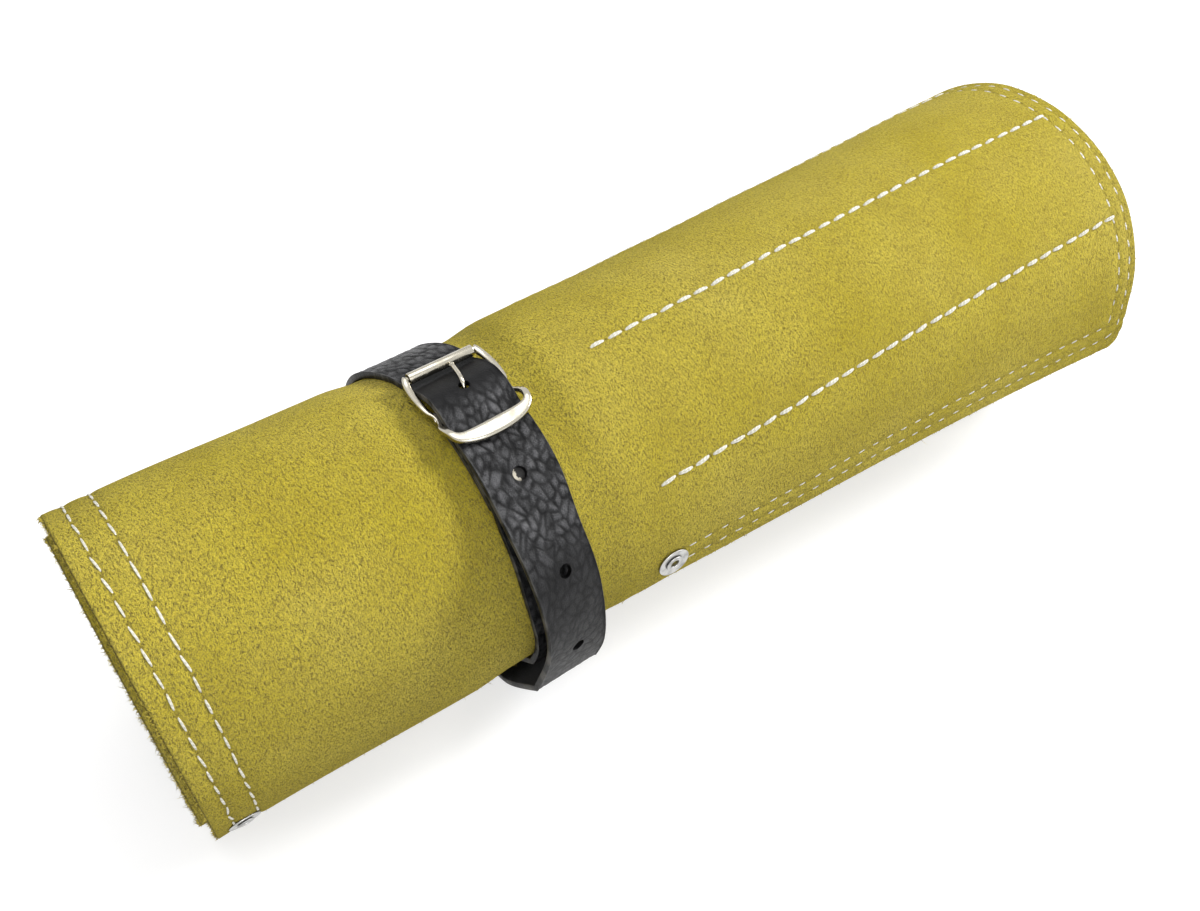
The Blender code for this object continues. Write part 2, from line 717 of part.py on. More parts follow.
def cut_tail_holes(tail, scene_parts):
    """Spare holes at even distances along the strap from the one that the prong is through."""
    path = tail_path()
    first = HOLE_SPACING - PRONG_HOLE_REACH - SPLIT_REACH - SPLIT_GAP
    for index in range(SPARE_HOLES):
        along = first + index * HOLE_SPACING
        y = float(np.interp(along, path.lengths, path.y))
        z = float(np.interp(along, path.lengths, path.z))
        normal_y = float(np.interp(along, path.lengths, path.normal_y))
        normal_z = float(np.interp(along, path.lengths, path.normal_z))
        turn = Vector((0.0, normal_y, normal_z)).to_track_quat("Z", "Y").to_matrix().to_4x4()
        name = "spare hole {}".format(index + 1)
        half = 0.5 * STRAP_THICKNESS + CUT_OVERRUN
        mesh = cylinder_mesh(name, HOLE_RADIUS, -half, half, TURNED_STEPS)
        cut(tail, add_cutter(name, mesh, scene_parts, Matrix.Translation((STRAP_X, y, z)) @ turn))


def buckle_matrix():
    """Placement of the buckle's frame: origin on the centre bar, Y along the strap, Z out from the roll."""
    origin, along, outward = buckle_place()
    y, z = origin + bar_height() * outward
    turn = Euler((math.atan2(along[1], along[0]), 0.0, 0.0))
    return Matrix.Translation((STRAP_X, y, z)) @ turn.to_matrix().to_4x4()


def cut_strap_for_buckle(strap, scene_parts):
    """Slot in the fold for the prong, and the hole that the prong is through."""
    matrix = buckle_matrix()
    half_depth = BAR_RADIUS + BAR_CLEARANCE + SKIVED_THICKNESS + 0.5 * LAYER_GAP
    slot = bmesh.new()
    bmesh.ops.create_cube(slot, size=1.0)
    bmesh.ops.scale(slot, vec=(SLOT_WIDTH, 2.0 * SLOT_REACH, 2.0 * half_depth), verts=slot.verts)
    mesh = bpy.data.meshes.new("prong slot")
    slot.to_mesh(mesh)
    slot.free()
    cut(strap, add_cutter("prong slot", mesh, scene_parts, matrix))
    mesh = cylinder_mesh("prong hole", HOLE_RADIUS, -PRONG_HOLE_DEPTH, PRONG_HOLE_OUT, TURNED_STEPS)
    place = Matrix.Translation((0.0, PRONG_HOLE_REACH, PRONG_HOLE_HEIGHT - bar_height()))
    turn = Matrix.Rotation(PRONG_HOLE_ANGLE - 0.25 * TURN, 4, "X")
    cut(strap, add_cutter("prong hole", mesh, scene_parts, matrix @ place @ turn))


def keeper_height():
    """Middle of the keeper bar over the roll's face at the centre bar."""
    radius = section(STRAP_X).half_width
    inner, _ = strap_profile(TURN + PASS_DROP_END / radius)
    strap_top = height_over_bar(-PASS_DROP_END, inner + STRAP_THICKNESS)
    return float(strap_top) + KEEPER_GAP + 0.5 * FRAME_THICKNESS


def end_bar_height():
    """Axis of the roller, just clear of the strap under it."""
    strap_top = height_over_bar(END_BAR_REACH, SEAT_GAP + STRAP_THICKNESS)
    return float(strap_top) + ROLLER_STRAP_GAP + ROLLER_RADIUS


def frame_height(u):
    """Height of the frame's middle over the centre bar: it dips at the bar and rises to both ends."""
    if u < 0.0:
        return (keeper_height() - bar_height()) * float(smoothstep(-u, 0.0, KEEPER_RISE_LENGTH))
    return (end_bar_height() - bar_height()) * float(smoothstep(u, 0.0, END_BAR_REACH))


def frame_outlines():
    """Matching outer and inner outlines of the right half, from the keeper's middle to the end bar's."""

    def half_outline(keeper_shares, side_shares, bar_side):
        keeper = [(across * FRAME_HALF_WIDTH, -along * KEEPER_REACH) for across, along in keeper_shares]
        side = [(across * FRAME_HALF_WIDTH, along * END_BAR_REACH) for across, along in side_shares]
        shoulder = 0.5 * ROLLER_LENGTH + BAR_SHOULDER_GAP
        return keeper + side + [(shoulder, bar_side), (0.0, bar_side)]

    outer = half_outline(KEEPER_OUTER_SHARES, SIDE_OUTER_SHARES, END_BAR_REACH + 0.5 * END_BAR_SIZE)
    inner = half_outline(KEEPER_INNER_SHARES, SIDE_INNER_SHARES, END_BAR_REACH - 0.5 * END_BAR_SIZE)
    return outer, inner


def build_buckle_frame(scene_parts):
    """Frame: a dished ribbon between two outlines, thickened, with a slim end bar for the roller."""
    outer, inner = frame_outlines()
    half = len(outer)
    loop = outer + [(-across, along) for across, along in reversed(outer[1:-1])]
    inner_loop = inner + [(-across, along) for across, along in reversed(inner[1:-1])]
    count = len(loop)
    points = [(across, along, frame_height(along)) for across, along in loop + inner_loop]
    faces = []
    for index in range(count):
        after = (index + 1) % count
        faces.append((index, after, count + after, count + index))
    mesh = bpy.data.meshes.new("buckle_frame")
    mesh.from_pydata(points, [], faces)
    matrix = buckle_matrix()
    frame = add_object("buckle_frame", mesh, nickel_material("buckle frame nickel"), scene_parts, matrix)
    group = frame.vertex_groups.new(name="thickness")
    slim = (half - 2, half - 1, half)
    slim_indices = list(slim) + [count + index for index in slim]
    others = [index for index in range(2 * count) if index not in slim_indices]
    group.add(others, 1.0, "REPLACE")
    group.add(slim_indices, END_BAR_SIZE / FRAME_THICKNESS, "REPLACE")
    add_solidify(frame, FRAME_THICKNESS, "thickness")
    add_bevel(frame, FRAME_BEVEL, 2)
    reach = FRAME_HALF_WIDTH + CUT_OVERRUN
    hole = cylinder_mesh("bar hole", TENON_RADIUS + TENON_CLEARANCE, -reach, reach, TURNED_STEPS)
    turn = Matrix.Rotation(0.25 * TURN, 4, "Y")
    cut(frame, add_cutter("bar hole", hole, scene_parts, matrix @ turn))
    return frame


def build_centre_bar(scene_parts):
    """Bar with a turned-down end through each notch, peened over outside it."""
    inner_face = KEEPER_INNER_SHARES[-1][0] * FRAME_HALF_WIDTH
    outer_face = KEEPER_OUTER_SHARES[-1][0] * FRAME_HALF_WIDTH
    shoulder = inner_face - BAR_SHOULDER_GAP
    head = outer_face + TENON_CLEARANCE
    end = head + PEENED_HEAD_LENGTH
    half = [
        (0.0, end),
        (0.6 * PEENED_HEAD_RADIUS, end),
        (PEENED_HEAD_RADIUS, head + 0.5 * PEENED_HEAD_LENGTH),
        (PEENED_HEAD_RADIUS, head),
        (TENON_RADIUS, head),
        (TENON_RADIUS, shoulder),
        (BAR_RADIUS, shoulder),
    ]
    profile = half + [(radius, -height) for radius, height in reversed(half)]
    matrix = buckle_matrix() @ Matrix.Rotation(0.25 * TURN, 4, "Y")
    return turned_object("centre_bar", profile, nickel_material("centre bar nickel"), scene_parts, matrix)


def build_buckle_roller(scene_parts):
    """Rolled tube on the end bar, free to turn."""
    axis = Matrix.Translation((0.0, END_BAR_REACH, end_bar_height() - bar_height()))
    matrix = buckle_matrix() @ axis @ Matrix.Rotation(0.25 * TURN, 4, "Y")
    half = 0.5 * ROLLER_LENGTH
    profile = [
        (ROLLER_RADIUS, half),
        (ROLLER_RADIUS, -half),
        (ROLLER_BORE_RADIUS, -half),
        (ROLLER_BORE_RADIUS, half),
    ]
    return turned_object("buckle_roller", profile, nickel_material("roller nickel"), scene_parts, matrix)


def bezier_points(start, start_pull, end_pull, end, count):
    """Points of one cubic curve, its first one left out."""
    points = []
    for share in np.linspace(0.0, 1.0, count + 1)[1:]:
        rest = 1.0 - share
        points.append(rest ** 3 * start + 3.0 * rest * rest * share * start_pull
                      + 3.0 * rest * share * share * end_pull + share ** 3 * end)
    return points


def prong_points():
    """Middle line of the prong: a curl round the bar, an arch through the strap and a tip."""
    curl_radius = BAR_RADIUS + PRONG_CLEARANCE + PRONG_RADIUS
    points = []
    for angle in np.linspace(PRONG_CURL_START, PRONG_CURL_END, PRONG_CURL_POINTS):
        points.append(np.array((curl_radius * math.cos(angle), curl_radius * math.sin(angle))))
    bar = bar_height()
    hole = np.array((PRONG_HOLE_REACH, PRONG_HOLE_HEIGHT - bar))
    crest = np.array((PRONG_CREST_REACH, PRONG_CREST_HEIGHT - bar))
    shoulder = np.array((PRONG_SHOULDER_REACH, PRONG_SHOULDER_HEIGHT - bar))
    tip = np.array((PRONG_TIP_REACH, PRONG_TIP_HEIGHT - bar))
    leaving = points[-1] + curl_radius * np.array((-math.sin(PRONG_CURL_END), math.cos(PRONG_CURL_END)))
    climb = np.array((math.cos(PRONG_HOLE_ANGLE), math.sin(PRONG_HOLE_ANGLE)))
    into_hole = hole - curl_radius * climb
    points += bezier_points(points[-1], leaving, into_hole, hole, PRONG_POINTS // 2)
    points += bezier_points(hole, 2.0 * hole - into_hole, crest, shoulder, PRONG_POINTS // 2)
    falling = 0.4 * tip + 0.6 * (2.0 * shoulder - crest)
    points += bezier_points(shoulder, falling, 0.5 * (shoulder + tip), tip, PRONG_POINTS // 2)
    return points


def build_prong(scene_parts):
    """Round wire with a curled end on the bar and a ball tip in front of the roller."""
    points = prong_points()
    radii = [PRONG_RADIUS] * len(points)
    heading = points[-1] - points[-2]
    heading = heading / np.linalg.norm(heading)
    centre = points[-1]
    points = points[:-2]
    radii = radii[:-2]
    for share in PRONG_BALL_SHARES:
        points.append(centre + share * PRONG_TIP_RADIUS * heading)
        radii.append(PRONG_TIP_RADIUS * math.sqrt(1.0 - share * share))
    curve = bpy.data.curves.new("prong", "CURVE")
    curve.dimensions = "3D"
    curve.bevel_depth = PRONG_RADIUS
    curve.bevel_resolution = 2
    curve.use_fill_caps = True
    spline = curve.splines.new("POLY")
    spline.points.add(len(points) - 1)
    for point, place, radius in zip(spline.points, points, radii):
        point.co = (0.0, place[0], place[1], 1.0)
        point.radius = radius / PRONG_RADIUS
    return add_object("prong", curve, nickel_material("prong nickel"), scene_parts, buckle_matrix())


def rivet_matrix(s, x):
    """Placement of a rivet on the sheet: origin on the outer face, Z out from it."""
    turn = sheet_normal(s, x).to_track_quat("Z", "Y").to_matrix().to_4x4()
    return Matrix.Translation(sheet_point(s, x, 0.0)) @ turn


def sheet_radius(s, x):
    """Radius of the inner face of both sheets at (s, x), taken on the flatter side of the section."""
    turned_angles, lengths = arc_table(float(x))
    turned = float(np.interp(s, lengths, turned_angles))
    held = section(x)
    return float(held.half_width - held.pitch * turned / TURN) - 2.0 * SUEDE - PANEL_GAP


def build_tubular_rivet(name, scene_parts, matrix, inside_radius):
    """Tubular rivet: a head inside, a tube through both sheets and a rim rolled over the washer.

    The head is flat and the sheets curl round it, so it stands off by the rise of their face at its rim.
    """
    rise = 0.5 * RIVET_HEAD_RADIUS * RIVET_HEAD_RADIUS / inside_radius
    inner_face = -(2.0 * SUEDE + PANEL_GAP + RIVET_HEAD_GAP + rise)
    head_low = inner_face - RIVET_HEAD_THICKNESS
    profile = [
        (0.5 * (RIVET_BORE_RADIUS + RIVET_TUBE_RADIUS), RIVET_RIM_TOP),
        (0.94 * RIVET_RIM_RADIUS, 0.95 * RIVET_RIM_TOP),
        (RIVET_RIM_RADIUS, 0.5 * (RIVET_RIM_TOP + RIVET_RIM_LOW)),
        (0.95 * RIVET_RIM_RADIUS, RIVET_RIM_LOW),
        (RIVET_TUBE_RADIUS, RIVET_RIM_LOW),
        (RIVET_TUBE_RADIUS, inner_face),
        (RIVET_HEAD_RADIUS, inner_face),
        (0.97 * RIVET_HEAD_RADIUS, head_low),
        (RIVET_BORE_RADIUS, head_low),
        (RIVET_BORE_RADIUS, 0.9 * RIVET_RIM_TOP),
    ]
    return turned_object(name, profile, zinc_material(name + " zinc"), scene_parts, matrix)


def build_rivet_washer(name, scene_parts, matrix):
    """Dished washer between the rolled rim and the suede."""
    profile = [
        (WASHER_BORE_RADIUS, WASHER_LIFT + WASHER_THICKNESS),
        (WASHER_RADIUS, WASHER_LIFT + WASHER_THICKNESS + WASHER_DISH),
        (WASHER_RADIUS, WASHER_LIFT + WASHER_DISH),
        (WASHER_BORE_RADIUS, WASHER_LIFT),
    ]
    return turned_object(name, profile, zinc_material(name + " zinc"), scene_parts, matrix)


def build_corner_rivets(scene_parts, panels):
    """A rivet with its washer at each end of the pocket's mouth and of the flap's sewn edge."""
    inner_s = SHEET_LENGTH - RIVET_FROM_EDGE
    places = (
        ("mouth", "outer", RIVET_FROM_EDGE, RIVET_X, panels.pocket),
        ("mouth", "inner", inner_s, RIVET_X, panels.pocket),
        ("flap", "outer", RIVET_FROM_EDGE, FLAP_RIVET_X, panels.flap),
        ("flap", "inner", inner_s, FLAP_RIVET_X, panels.flap),
    )
    radius = RIVET_TUBE_RADIUS + RIVET_HOLE_CLEARANCE
    for kind, side, s, x, panel in places:
        matrix = rivet_matrix(s, x)
        build_tubular_rivet("{}_rivet_{}".format(kind, side), scene_parts, matrix, sheet_radius(s, x))
        build_rivet_washer("{}_washer_{}".format(kind, side), scene_parts, matrix)
        name = "{} rivet hole {}".format(kind, side)
        low = -2.0 * SUEDE - PANEL_GAP - CUT_OVERRUN
        mesh = cylinder_mesh(name, radius, low, CUT_OVERRUN, TURNED_STEPS)
        cutter = add_cutter(name, mesh, scene_parts, matrix)
        cut(panels.back, cutter)
        cut(panel, cutter)


def build_burr_rivet(name, scene_parts, matrix, end):
    """Solid rivet with a low domed head outside and a shank down to its end."""
    profile = [
        (0.0, BURR_HEAD_GAP + BURR_HEAD_HEIGHT),
        (0.6 * BURR_HEAD_RADIUS, BURR_HEAD_GAP + 0.8 * BURR_HEAD_HEIGHT),
        (BURR_HEAD_RADIUS, BURR_HEAD_GAP + BURR_HEAD_RIM),
        (BURR_HEAD_RADIUS, BURR_HEAD_GAP),
        (BURR_SHANK_RADIUS, BURR_HEAD_GAP),
        (BURR_SHANK_RADIUS, -end),
        (0.0, -end),
    ]
    return turned_object(name, profile, zinc_material(name + " zinc"), scene_parts, matrix)


def build_burr_washer(name, scene_parts, matrix, stack):
    """Burr: the small washer that the solid rivet is peened over."""
    top = -stack - BURR_WASHER_GAP
    low = top - BURR_WASHER_THICKNESS
    bore = BURR_SHANK_RADIUS + BURR_CLEARANCE
    profile = [(BURR_WASHER_RADIUS, top), (BURR_WASHER_RADIUS, low), (bore, low), (bore, top)]
    return turned_object(name, profile, zinc_material(name + " zinc"), scene_parts, matrix)


def strap_rivet_matrix(travel):
    """Placement of a solid rivet on the strap: origin on its outer face, Z out from it."""
    inner, thickness = strap_profile(travel)
    angle = BUCKLE_ANGLE - travel
    foot = Vector((0.0, *map(float, strap_ground(angle, 0.0))))
    top = Vector((0.0, *map(float, strap_ground(angle, inner + thickness))))
    turn = (top - foot).to_track_quat("Z", "Y").to_matrix().to_4x4()
    place = top + Vector((STRAP_X + float(strap_drift(travel)), 0.0, 0.0))
    return Matrix.Translation(place) @ turn, float(inner + thickness)


def build_strap_rivets(scene_parts, strap, back_panel):
    """Fold rivet, flush inside the fold's inner layer, and anchor rivet through strap and back panel."""
    radius = BURR_SHANK_RADIUS + BURR_CLEARANCE
    matrix, outer = strap_rivet_matrix(FOLD_RIVET_REACH / section(STRAP_X).half_width)
    build_burr_rivet("fold_rivet", scene_parts, matrix, outer - LAYER_GAP)
    mesh = cylinder_mesh("fold rivet hole", radius, -outer, CUT_OVERRUN, TURNED_STEPS)
    cut(strap, add_cutter("fold rivet hole", mesh, scene_parts, matrix))
    matrix, outer = strap_rivet_matrix(BUCKLE_ANGLE - ANCHOR_RIVET_ANGLE)
    stack = outer + SUEDE
    end = stack + BURR_WASHER_GAP + BURR_WASHER_THICKNESS + BURR_END_LENGTH
    build_burr_rivet("anchor_rivet", scene_parts, matrix, end)
    build_burr_washer("anchor_washer", scene_parts, matrix, stack)
    mesh = cylinder_mesh("anchor rivet hole", radius, -stack - CUT_OVERRUN, CUT_OVERRUN, TURNED_STEPS)
    cutter = add_cutter("anchor rivet hole", mesh, scene_parts, matrix)
    cut(strap, cutter)
    cut(back_panel, cutter)


def stand_on_origin(scene_parts):
    """Move the whole roll so that the origin is under the middle of its bounding box."""
    bpy.context.view_layer.update()
    graph = bpy.context.evaluated_depsgraph_get()
    corners = []
    for part in scene_parts.parts.objects:
        evaluated = part.evaluated_get(graph)
        mesh = evaluated.to_mesh()
        corners += [evaluated.matrix_world @ vertex.co for vertex in mesh.vertices]
        evaluated.to_mesh_clear()
    low = [min(corner[axis] for corner in corners) for axis in range(3)]
    high = [max(corner[axis] for corner in corners) for axis in range(3)]
    scene_parts.root.location = (-0.5 * (low[0] + high[0]), -0.5 * (low[1] + high[1]), -low[2])
    bpy.context.view_layer.update()


def clear_scene():
    for thing in list(bpy.data.objects):
        bpy.data.objects.remove(thing, do_unlink=True)
    for group in list(bpy.data.collections):
        bpy.data.collections.remove(group)


def new_scene_parts():
    parts = bpy.data.collections.new(COLLECTION_NAME)
    cutters = bpy.data.collections.new(COLLECTION_NAME + " cutters")
    bpy.context.scene.collection.children.link(parts)
    bpy.context.scene.collection.children.link(cutters)
    root = bpy.data.objects.new("roll origin", None)
    cutters.objects.link(root)
    return SimpleNamespace(parts=parts, cutters=cutters, root=root)


def main():
    clear_scene()
    scene_parts = new_scene_parts()
    panels = SimpleNamespace(
        back=build_back_panel(scene_parts),
        pocket=build_pocket_panel(scene_parts),
        flap=build_flap_panel(scene_parts),
    )
    strap = build_strap(scene_parts)
    tail = build_strap_tail(scene_parts)
    cut_strap_for_buckle(strap, scene_parts)
    cut_tail_holes(tail, scene_parts)
    build_buckle_frame(scene_parts)
    build_centre_bar(scene_parts)
    build_buckle_roller(scene_parts)
    build_prong(scene_parts)
    build_corner_rivets(scene_parts, panels)
    build_strap_rivets(scene_parts, strap, panels.back)
    stand_on_origin(scene_parts)


main()
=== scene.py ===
"""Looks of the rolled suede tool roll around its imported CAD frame.

Lengths are metres in the row frame: X along the roll, -Y the front with the free edge, +Z up.
A place on the flat sheet is (s, x): s from the free edge towards the inner end, x across the sheet.
"""
import math

import bpy
import numpy as np
from mathutils import Matrix


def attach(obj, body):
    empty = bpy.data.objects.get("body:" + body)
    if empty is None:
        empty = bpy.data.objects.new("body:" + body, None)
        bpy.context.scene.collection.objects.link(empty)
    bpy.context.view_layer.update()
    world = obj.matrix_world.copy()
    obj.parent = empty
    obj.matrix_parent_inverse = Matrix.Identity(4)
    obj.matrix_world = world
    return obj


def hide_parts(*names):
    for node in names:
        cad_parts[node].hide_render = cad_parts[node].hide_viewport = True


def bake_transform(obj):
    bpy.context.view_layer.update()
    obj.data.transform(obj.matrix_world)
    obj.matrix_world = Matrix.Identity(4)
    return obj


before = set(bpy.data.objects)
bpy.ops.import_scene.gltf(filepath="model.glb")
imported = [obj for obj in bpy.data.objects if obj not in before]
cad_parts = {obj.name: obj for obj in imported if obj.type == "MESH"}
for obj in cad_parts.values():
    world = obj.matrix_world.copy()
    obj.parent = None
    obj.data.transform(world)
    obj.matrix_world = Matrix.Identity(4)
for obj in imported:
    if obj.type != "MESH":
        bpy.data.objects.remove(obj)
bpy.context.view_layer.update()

MM = 0.001
TURN = 2.0 * math.pi
# Where the sheet's own corner, at the left end of the free edge, lies in the row frame.
ROOT_SHIFT = np.array((-0.151611790, 0.002322854, 0.000003261))

# Sheets
ROLL_WIDTH = 0.305
SHEET_LENGTH = 0.610
SUEDE = 0.0014
PANEL_GAP = 0.0003
PANEL_INSET = 0.0012
POCKET_DEPTH = 0.184
FLAP_DEPTH = 0.076
CORNER_RADIUS = 0.0055
TELESCOPE = 0.0018
RIVET_X = 0.1285
RIVET_FROM_EDGE = 0.0073
FLAP_RIVET_X = 0.0071
INSIDE_FACE = 2 * SUEDE + PANEL_GAP

# Section of the roll: at its left end, how it grows to the right end, and its waist under the strap
LEANS = (0.0020, 0.0035, -0.0003)
LEFT_HALF_WIDTH = 0.0388
WIDENING = 0.0142
WIDENING_POWER = 2.2
LEFT_HALF_HEIGHT = 0.0506
HEIGHT_GROWTH = 0.0011
LEFT_PITCH = 0.0048
PITCH_GROWTH = 0.0002
LEFT_EDGE_DEGREES = -38.0
EDGE_DEGREES_GROWTH = 22.3
WAIST_BULGE = 0.0037
WAIST_PINCH = 0.0031
WAIST_REACHES = (0.096, 0.220)
STRAP_SQUEEZE = 0.0034
STRAP_PITCH = 0.0038
STRAP_FLOOR_GAP = 0.5 * MM
SQUEEZE_MARGIN = 3 * MM
SQUEEZE_REACH = 12 * MM
SETTLE = 0.9 * MM
FLARE = 0.0033
FLARE_REACH = 0.017
FLARE_POWER = 1.3
FLARE_START = 15 * MM
FLARE_GROWTH_POWER = 0.6

# Strap
STRAP_X = 0.0928
STRAP_WIDTH = 0.019
STRAP_THICKNESS = 0.0018
SKIVED = 0.0012
SEAT_GAP = 0.0003
LAYER_GAP = 0.00025
RETURN_LENGTH = 0.0246
BUCKLE_ANGLE = math.radians(78.5)
STRAP_END = 10.0 * MM
DRIFT_RIGHT = 2.2 * MM
DRIFT_LEFT = 3.5 * MM
EDGE_LIFT = 0.25 * MM
GRAIN_RELIEF = 0.45 * MM
HOLE_RADIUS = 0.00175
HOLE_SPACING = 0.0254

# Height of the strap where it comes back over the buckle, in mm: places from the centre bar and levels there
HUMP_PLACES = (-21.0, -17.0, -12.6, -10.4, -7.0, -3.4, 0.4, 6.0)
HUMP_LEVELS = (0.0, -0.40, -0.40, 1.1, 2.9, 4.5, 4.6)
HUMP_BEND = 1.1 * MM

# Free end of the strap: its bow off the roll and its tilt, by degrees round the roll, and its hinge
TAIL_BOW = 0.0058
TAIL_BOW_DEGREES = (58, 50, 43, 36, 26, 16, 6, -7, -21, -34, -48, -57, -76.0)
TAIL_BOW_SHARES = (0.0, 0.0, 0.04, 0.2, 0.6, 0.92, 0.97, 0.83, 0.70, 0.86, 1.07, 1.15, 1.6)
TAIL_TILT = 0.0022
TAIL_TILT_DEGREES = (50.0, 28.0, 10.0, -18.0)
TAIL_TILT_SHARES = (0.0, 1.0, 1.0, 0.0)
TAIL_FLOOR_GAP = 0.2 * MM
TAIL_FLOOR_BEND = 4.6 * MM
TAIL_TIP_Y = -16.8 * MM
TAIL_SHIFT = 0.7 * MM
TAIL_HOLE_SHIFT = 0.4 * MM
TIP_ROUNDING = 0.0055

# Buckle, in its own frame: across, u back along the strap from the centre bar, w out from the roll
BUCKLE_SHIFT = 0.5 * MM
KEEPER_TWIST = 0.055
BAR_RADIUS = 0.00075
BAR_CLEARANCE = 0.00015
FRAME_HALF_WIDTH = 0.0120
FRAME_THICKNESS = 0.0018
KEEPER_REACH = 0.0124
KEEPER_RISE = 0.007
KEEPER_GAP = 0.00035
END_BAR_REACH = 0.0146
END_BAR_SIZE = 0.0012
ROLLER_RADIUS = 0.00145
ROLLER_BORE = 0.00105
ROLLER_LENGTH = 0.0180
ROLLER_GAP = 0.0003
PRONG_RADIUS = 0.00055
PRONG_TIP_RADIUS = 0.00075
PASS_DROP_END = 0.0068
PRONG_HOLE_REACH = 0.0043
PRONG_HOLE_RADIUS = 1.4 * MM
PRONG_HOLE_ANGLE = math.radians(40.0)
PRONG_LEAN = 2.3 * MM


# ---------- The rolled sheet ----------

def smoothstep(value, start, end):
    """0 before start, 1 past end and an eased rise between them."""
    share = np.clip((value - start) / (end - start), 0.0, 1.0)
    return share * share * (3.0 - 2.0 * share)


def eased(value, places, levels):
    """Level at a place: eased from each knot to the next, with the places rising."""
    result = np.full(np.shape(value), float(levels[0]))
    for i in range(1, len(places)):
        result = result + (levels[i] - levels[i - 1]) * smoothstep(value, places[i - 1], places[i])
    return result


def bent(value, places, levels, softness):
    """Straight runs between the given places and levels, with every corner rounded over the softness."""
    rates = np.concatenate(([0.0], np.diff(levels) / np.diff(places), [0.0]))
    result = np.full(np.shape(value), float(levels[0]))
    for place, change in zip(places, np.diff(rates)):
        result = result + change * 0.5 * (value - place + np.hypot(value - place, softness))
    return result


def window(distance, reach):
    """Squared cosine that falls from 1 at no distance to 0 at the reach."""
    return np.cos(0.5 * math.pi * np.clip(distance / reach, 0.0, 1.0)) ** 2


def grip(x):
    """1 under the strap and close beside it, falling to 0 over the squeeze's reach."""
    beside = np.maximum(np.abs(x - STRAP_X) - 0.5 * STRAP_WIDTH - SQUEEZE_MARGIN, 0.0)
    return window(beside, SQUEEZE_REACH)


def free_section(x):
    """Lean, half width, half height, pitch and edge angle of the roll where no strap holds it."""
    share = x / ROLL_WIDTH
    waist = window(np.abs(x - STRAP_X), np.where(x < STRAP_X, *WAIST_REACHES))
    return np.stack((
        np.interp(x, (0.0, STRAP_X, ROLL_WIDTH), LEANS),
        LEFT_HALF_WIDTH + WIDENING * share ** WIDENING_POWER + WAIST_BULGE * waist,
        LEFT_HALF_HEIGHT + HEIGHT_GROWTH * share - WAIST_PINCH * waist,
        LEFT_PITCH + PITCH_GROWTH * share,
        np.radians(LEFT_EDGE_DEGREES + EDGE_DEGREES_GROWTH * np.clip(x / RIVET_X, 0.0, 1.0)),
    ))


def section(x):
    """Sizes of the section at x: the free ones mixed with the tighter ones under the strap."""
    x = np.asarray(x, float)
    held = grip(x)
    under = free_section(np.array(STRAP_X))
    under[2] -= STRAP_SQUEEZE
    under[3] = STRAP_PITCH
    under = under.reshape((5,) + (1,) * x.ndim)
    underside = held * (STRAP_FLOOR_GAP + STRAP_THICKNESS + SEAT_GAP)
    return (*((1.0 - held) * free_section(x) + held * under), underside)


def spiral(turned, x, depth, flare=0.0):
    """(y, z) on an elliptic spiral: both half axes shrink by one pitch a turn and by the depth.

    The lowest part of each layer is flattened on the floor or on the layer under it.
    """
    lean, half_width, half_height, pitch, edge_angle, underside = section(x)
    turns = turned / TURN
    angle = edge_angle + turned
    inset = pitch * turns + depth - flare
    bottom_turns = (0.75 * TURN - edge_angle) / TURN
    centre = underside + half_height - pitch * bottom_turns - SETTLE
    y = lean - (half_width - inset) * np.cos(angle)
    z = centre + (half_height - inset) * np.sin(angle)
    return y, np.maximum(z, underside + pitch * np.round(turns - bottom_turns) + depth)


X_TABLE = np.linspace(0.0, ROLL_WIDTH, 245)
S_TABLE = np.linspace(0.0, 0.616, 1233)


def turned_table():
    """Angle turned from the free edge at each x and s: the arc length of the spiral, read backwards."""
    turned = np.linspace(0.0, 2.8 * TURN, 3000)
    y, z = spiral(turned[None, :], X_TABLE[:, None], 0.5 * SUEDE)
    steps = np.hypot(np.diff(y, axis=1), np.diff(z, axis=1))
    lengths = np.concatenate((np.zeros((len(X_TABLE), 1)), np.cumsum(steps, axis=1)), axis=1)
    return np.array([np.interp(S_TABLE, row, turned) for row in lengths])


TURNED = turned_table()


def turned_at(s, x):
    """Bilinear reading of the table of turned angles."""
    column = np.clip(s / S_TABLE[-1], 0.0, 1.0) * (len(S_TABLE) - 1)
    row = np.clip(x / ROLL_WIDTH, 0.0, 1.0) * (len(X_TABLE) - 1)
    i = np.minimum(row.astype(int), len(X_TABLE) - 2)
    j = np.minimum(column.astype(int), len(S_TABLE) - 2)
    a, b = row - i, column - j
    return ((1 - a) * ((1 - b) * TURNED[i, j] + b * TURNED[i, j + 1])
            + a * ((1 - b) * TURNED[i + 1, j] + b * TURNED[i + 1, j + 1]))


def on_sheet(s, x, depth):
    """Points of the rolled sheet at (s, x), depth in from its outer face; the free edge flares outwards."""
    s, x, depth = np.broadcast_arrays(*(np.asarray(value, float) for value in (s, x, depth)))
    turned = turned_at(s, x)
    start = STRAP_X + 0.5 * STRAP_WIDTH + FLARE_START
    beyond = np.maximum(x - start, 0.0) / (ROLL_WIDTH - start)
    curl = np.maximum(1.0 - s / FLARE_REACH, 0.0) ** FLARE_POWER
    y, z = spiral(turned, x, depth, FLARE * beyond ** FLARE_GROWTH_POWER * curl)
    points = np.stack((x - TELESCOPE * np.minimum(turned / TURN, 1.0), y, z), axis=-1) + ROOT_SHIFT
    points[..., 2] = np.maximum(points[..., 2], 0.0)
    return points


def unit(vectors):
    """The vectors at length 1."""
    return vectors / np.maximum(np.linalg.norm(vectors, axis=-1, keepdims=True), 1e-12)


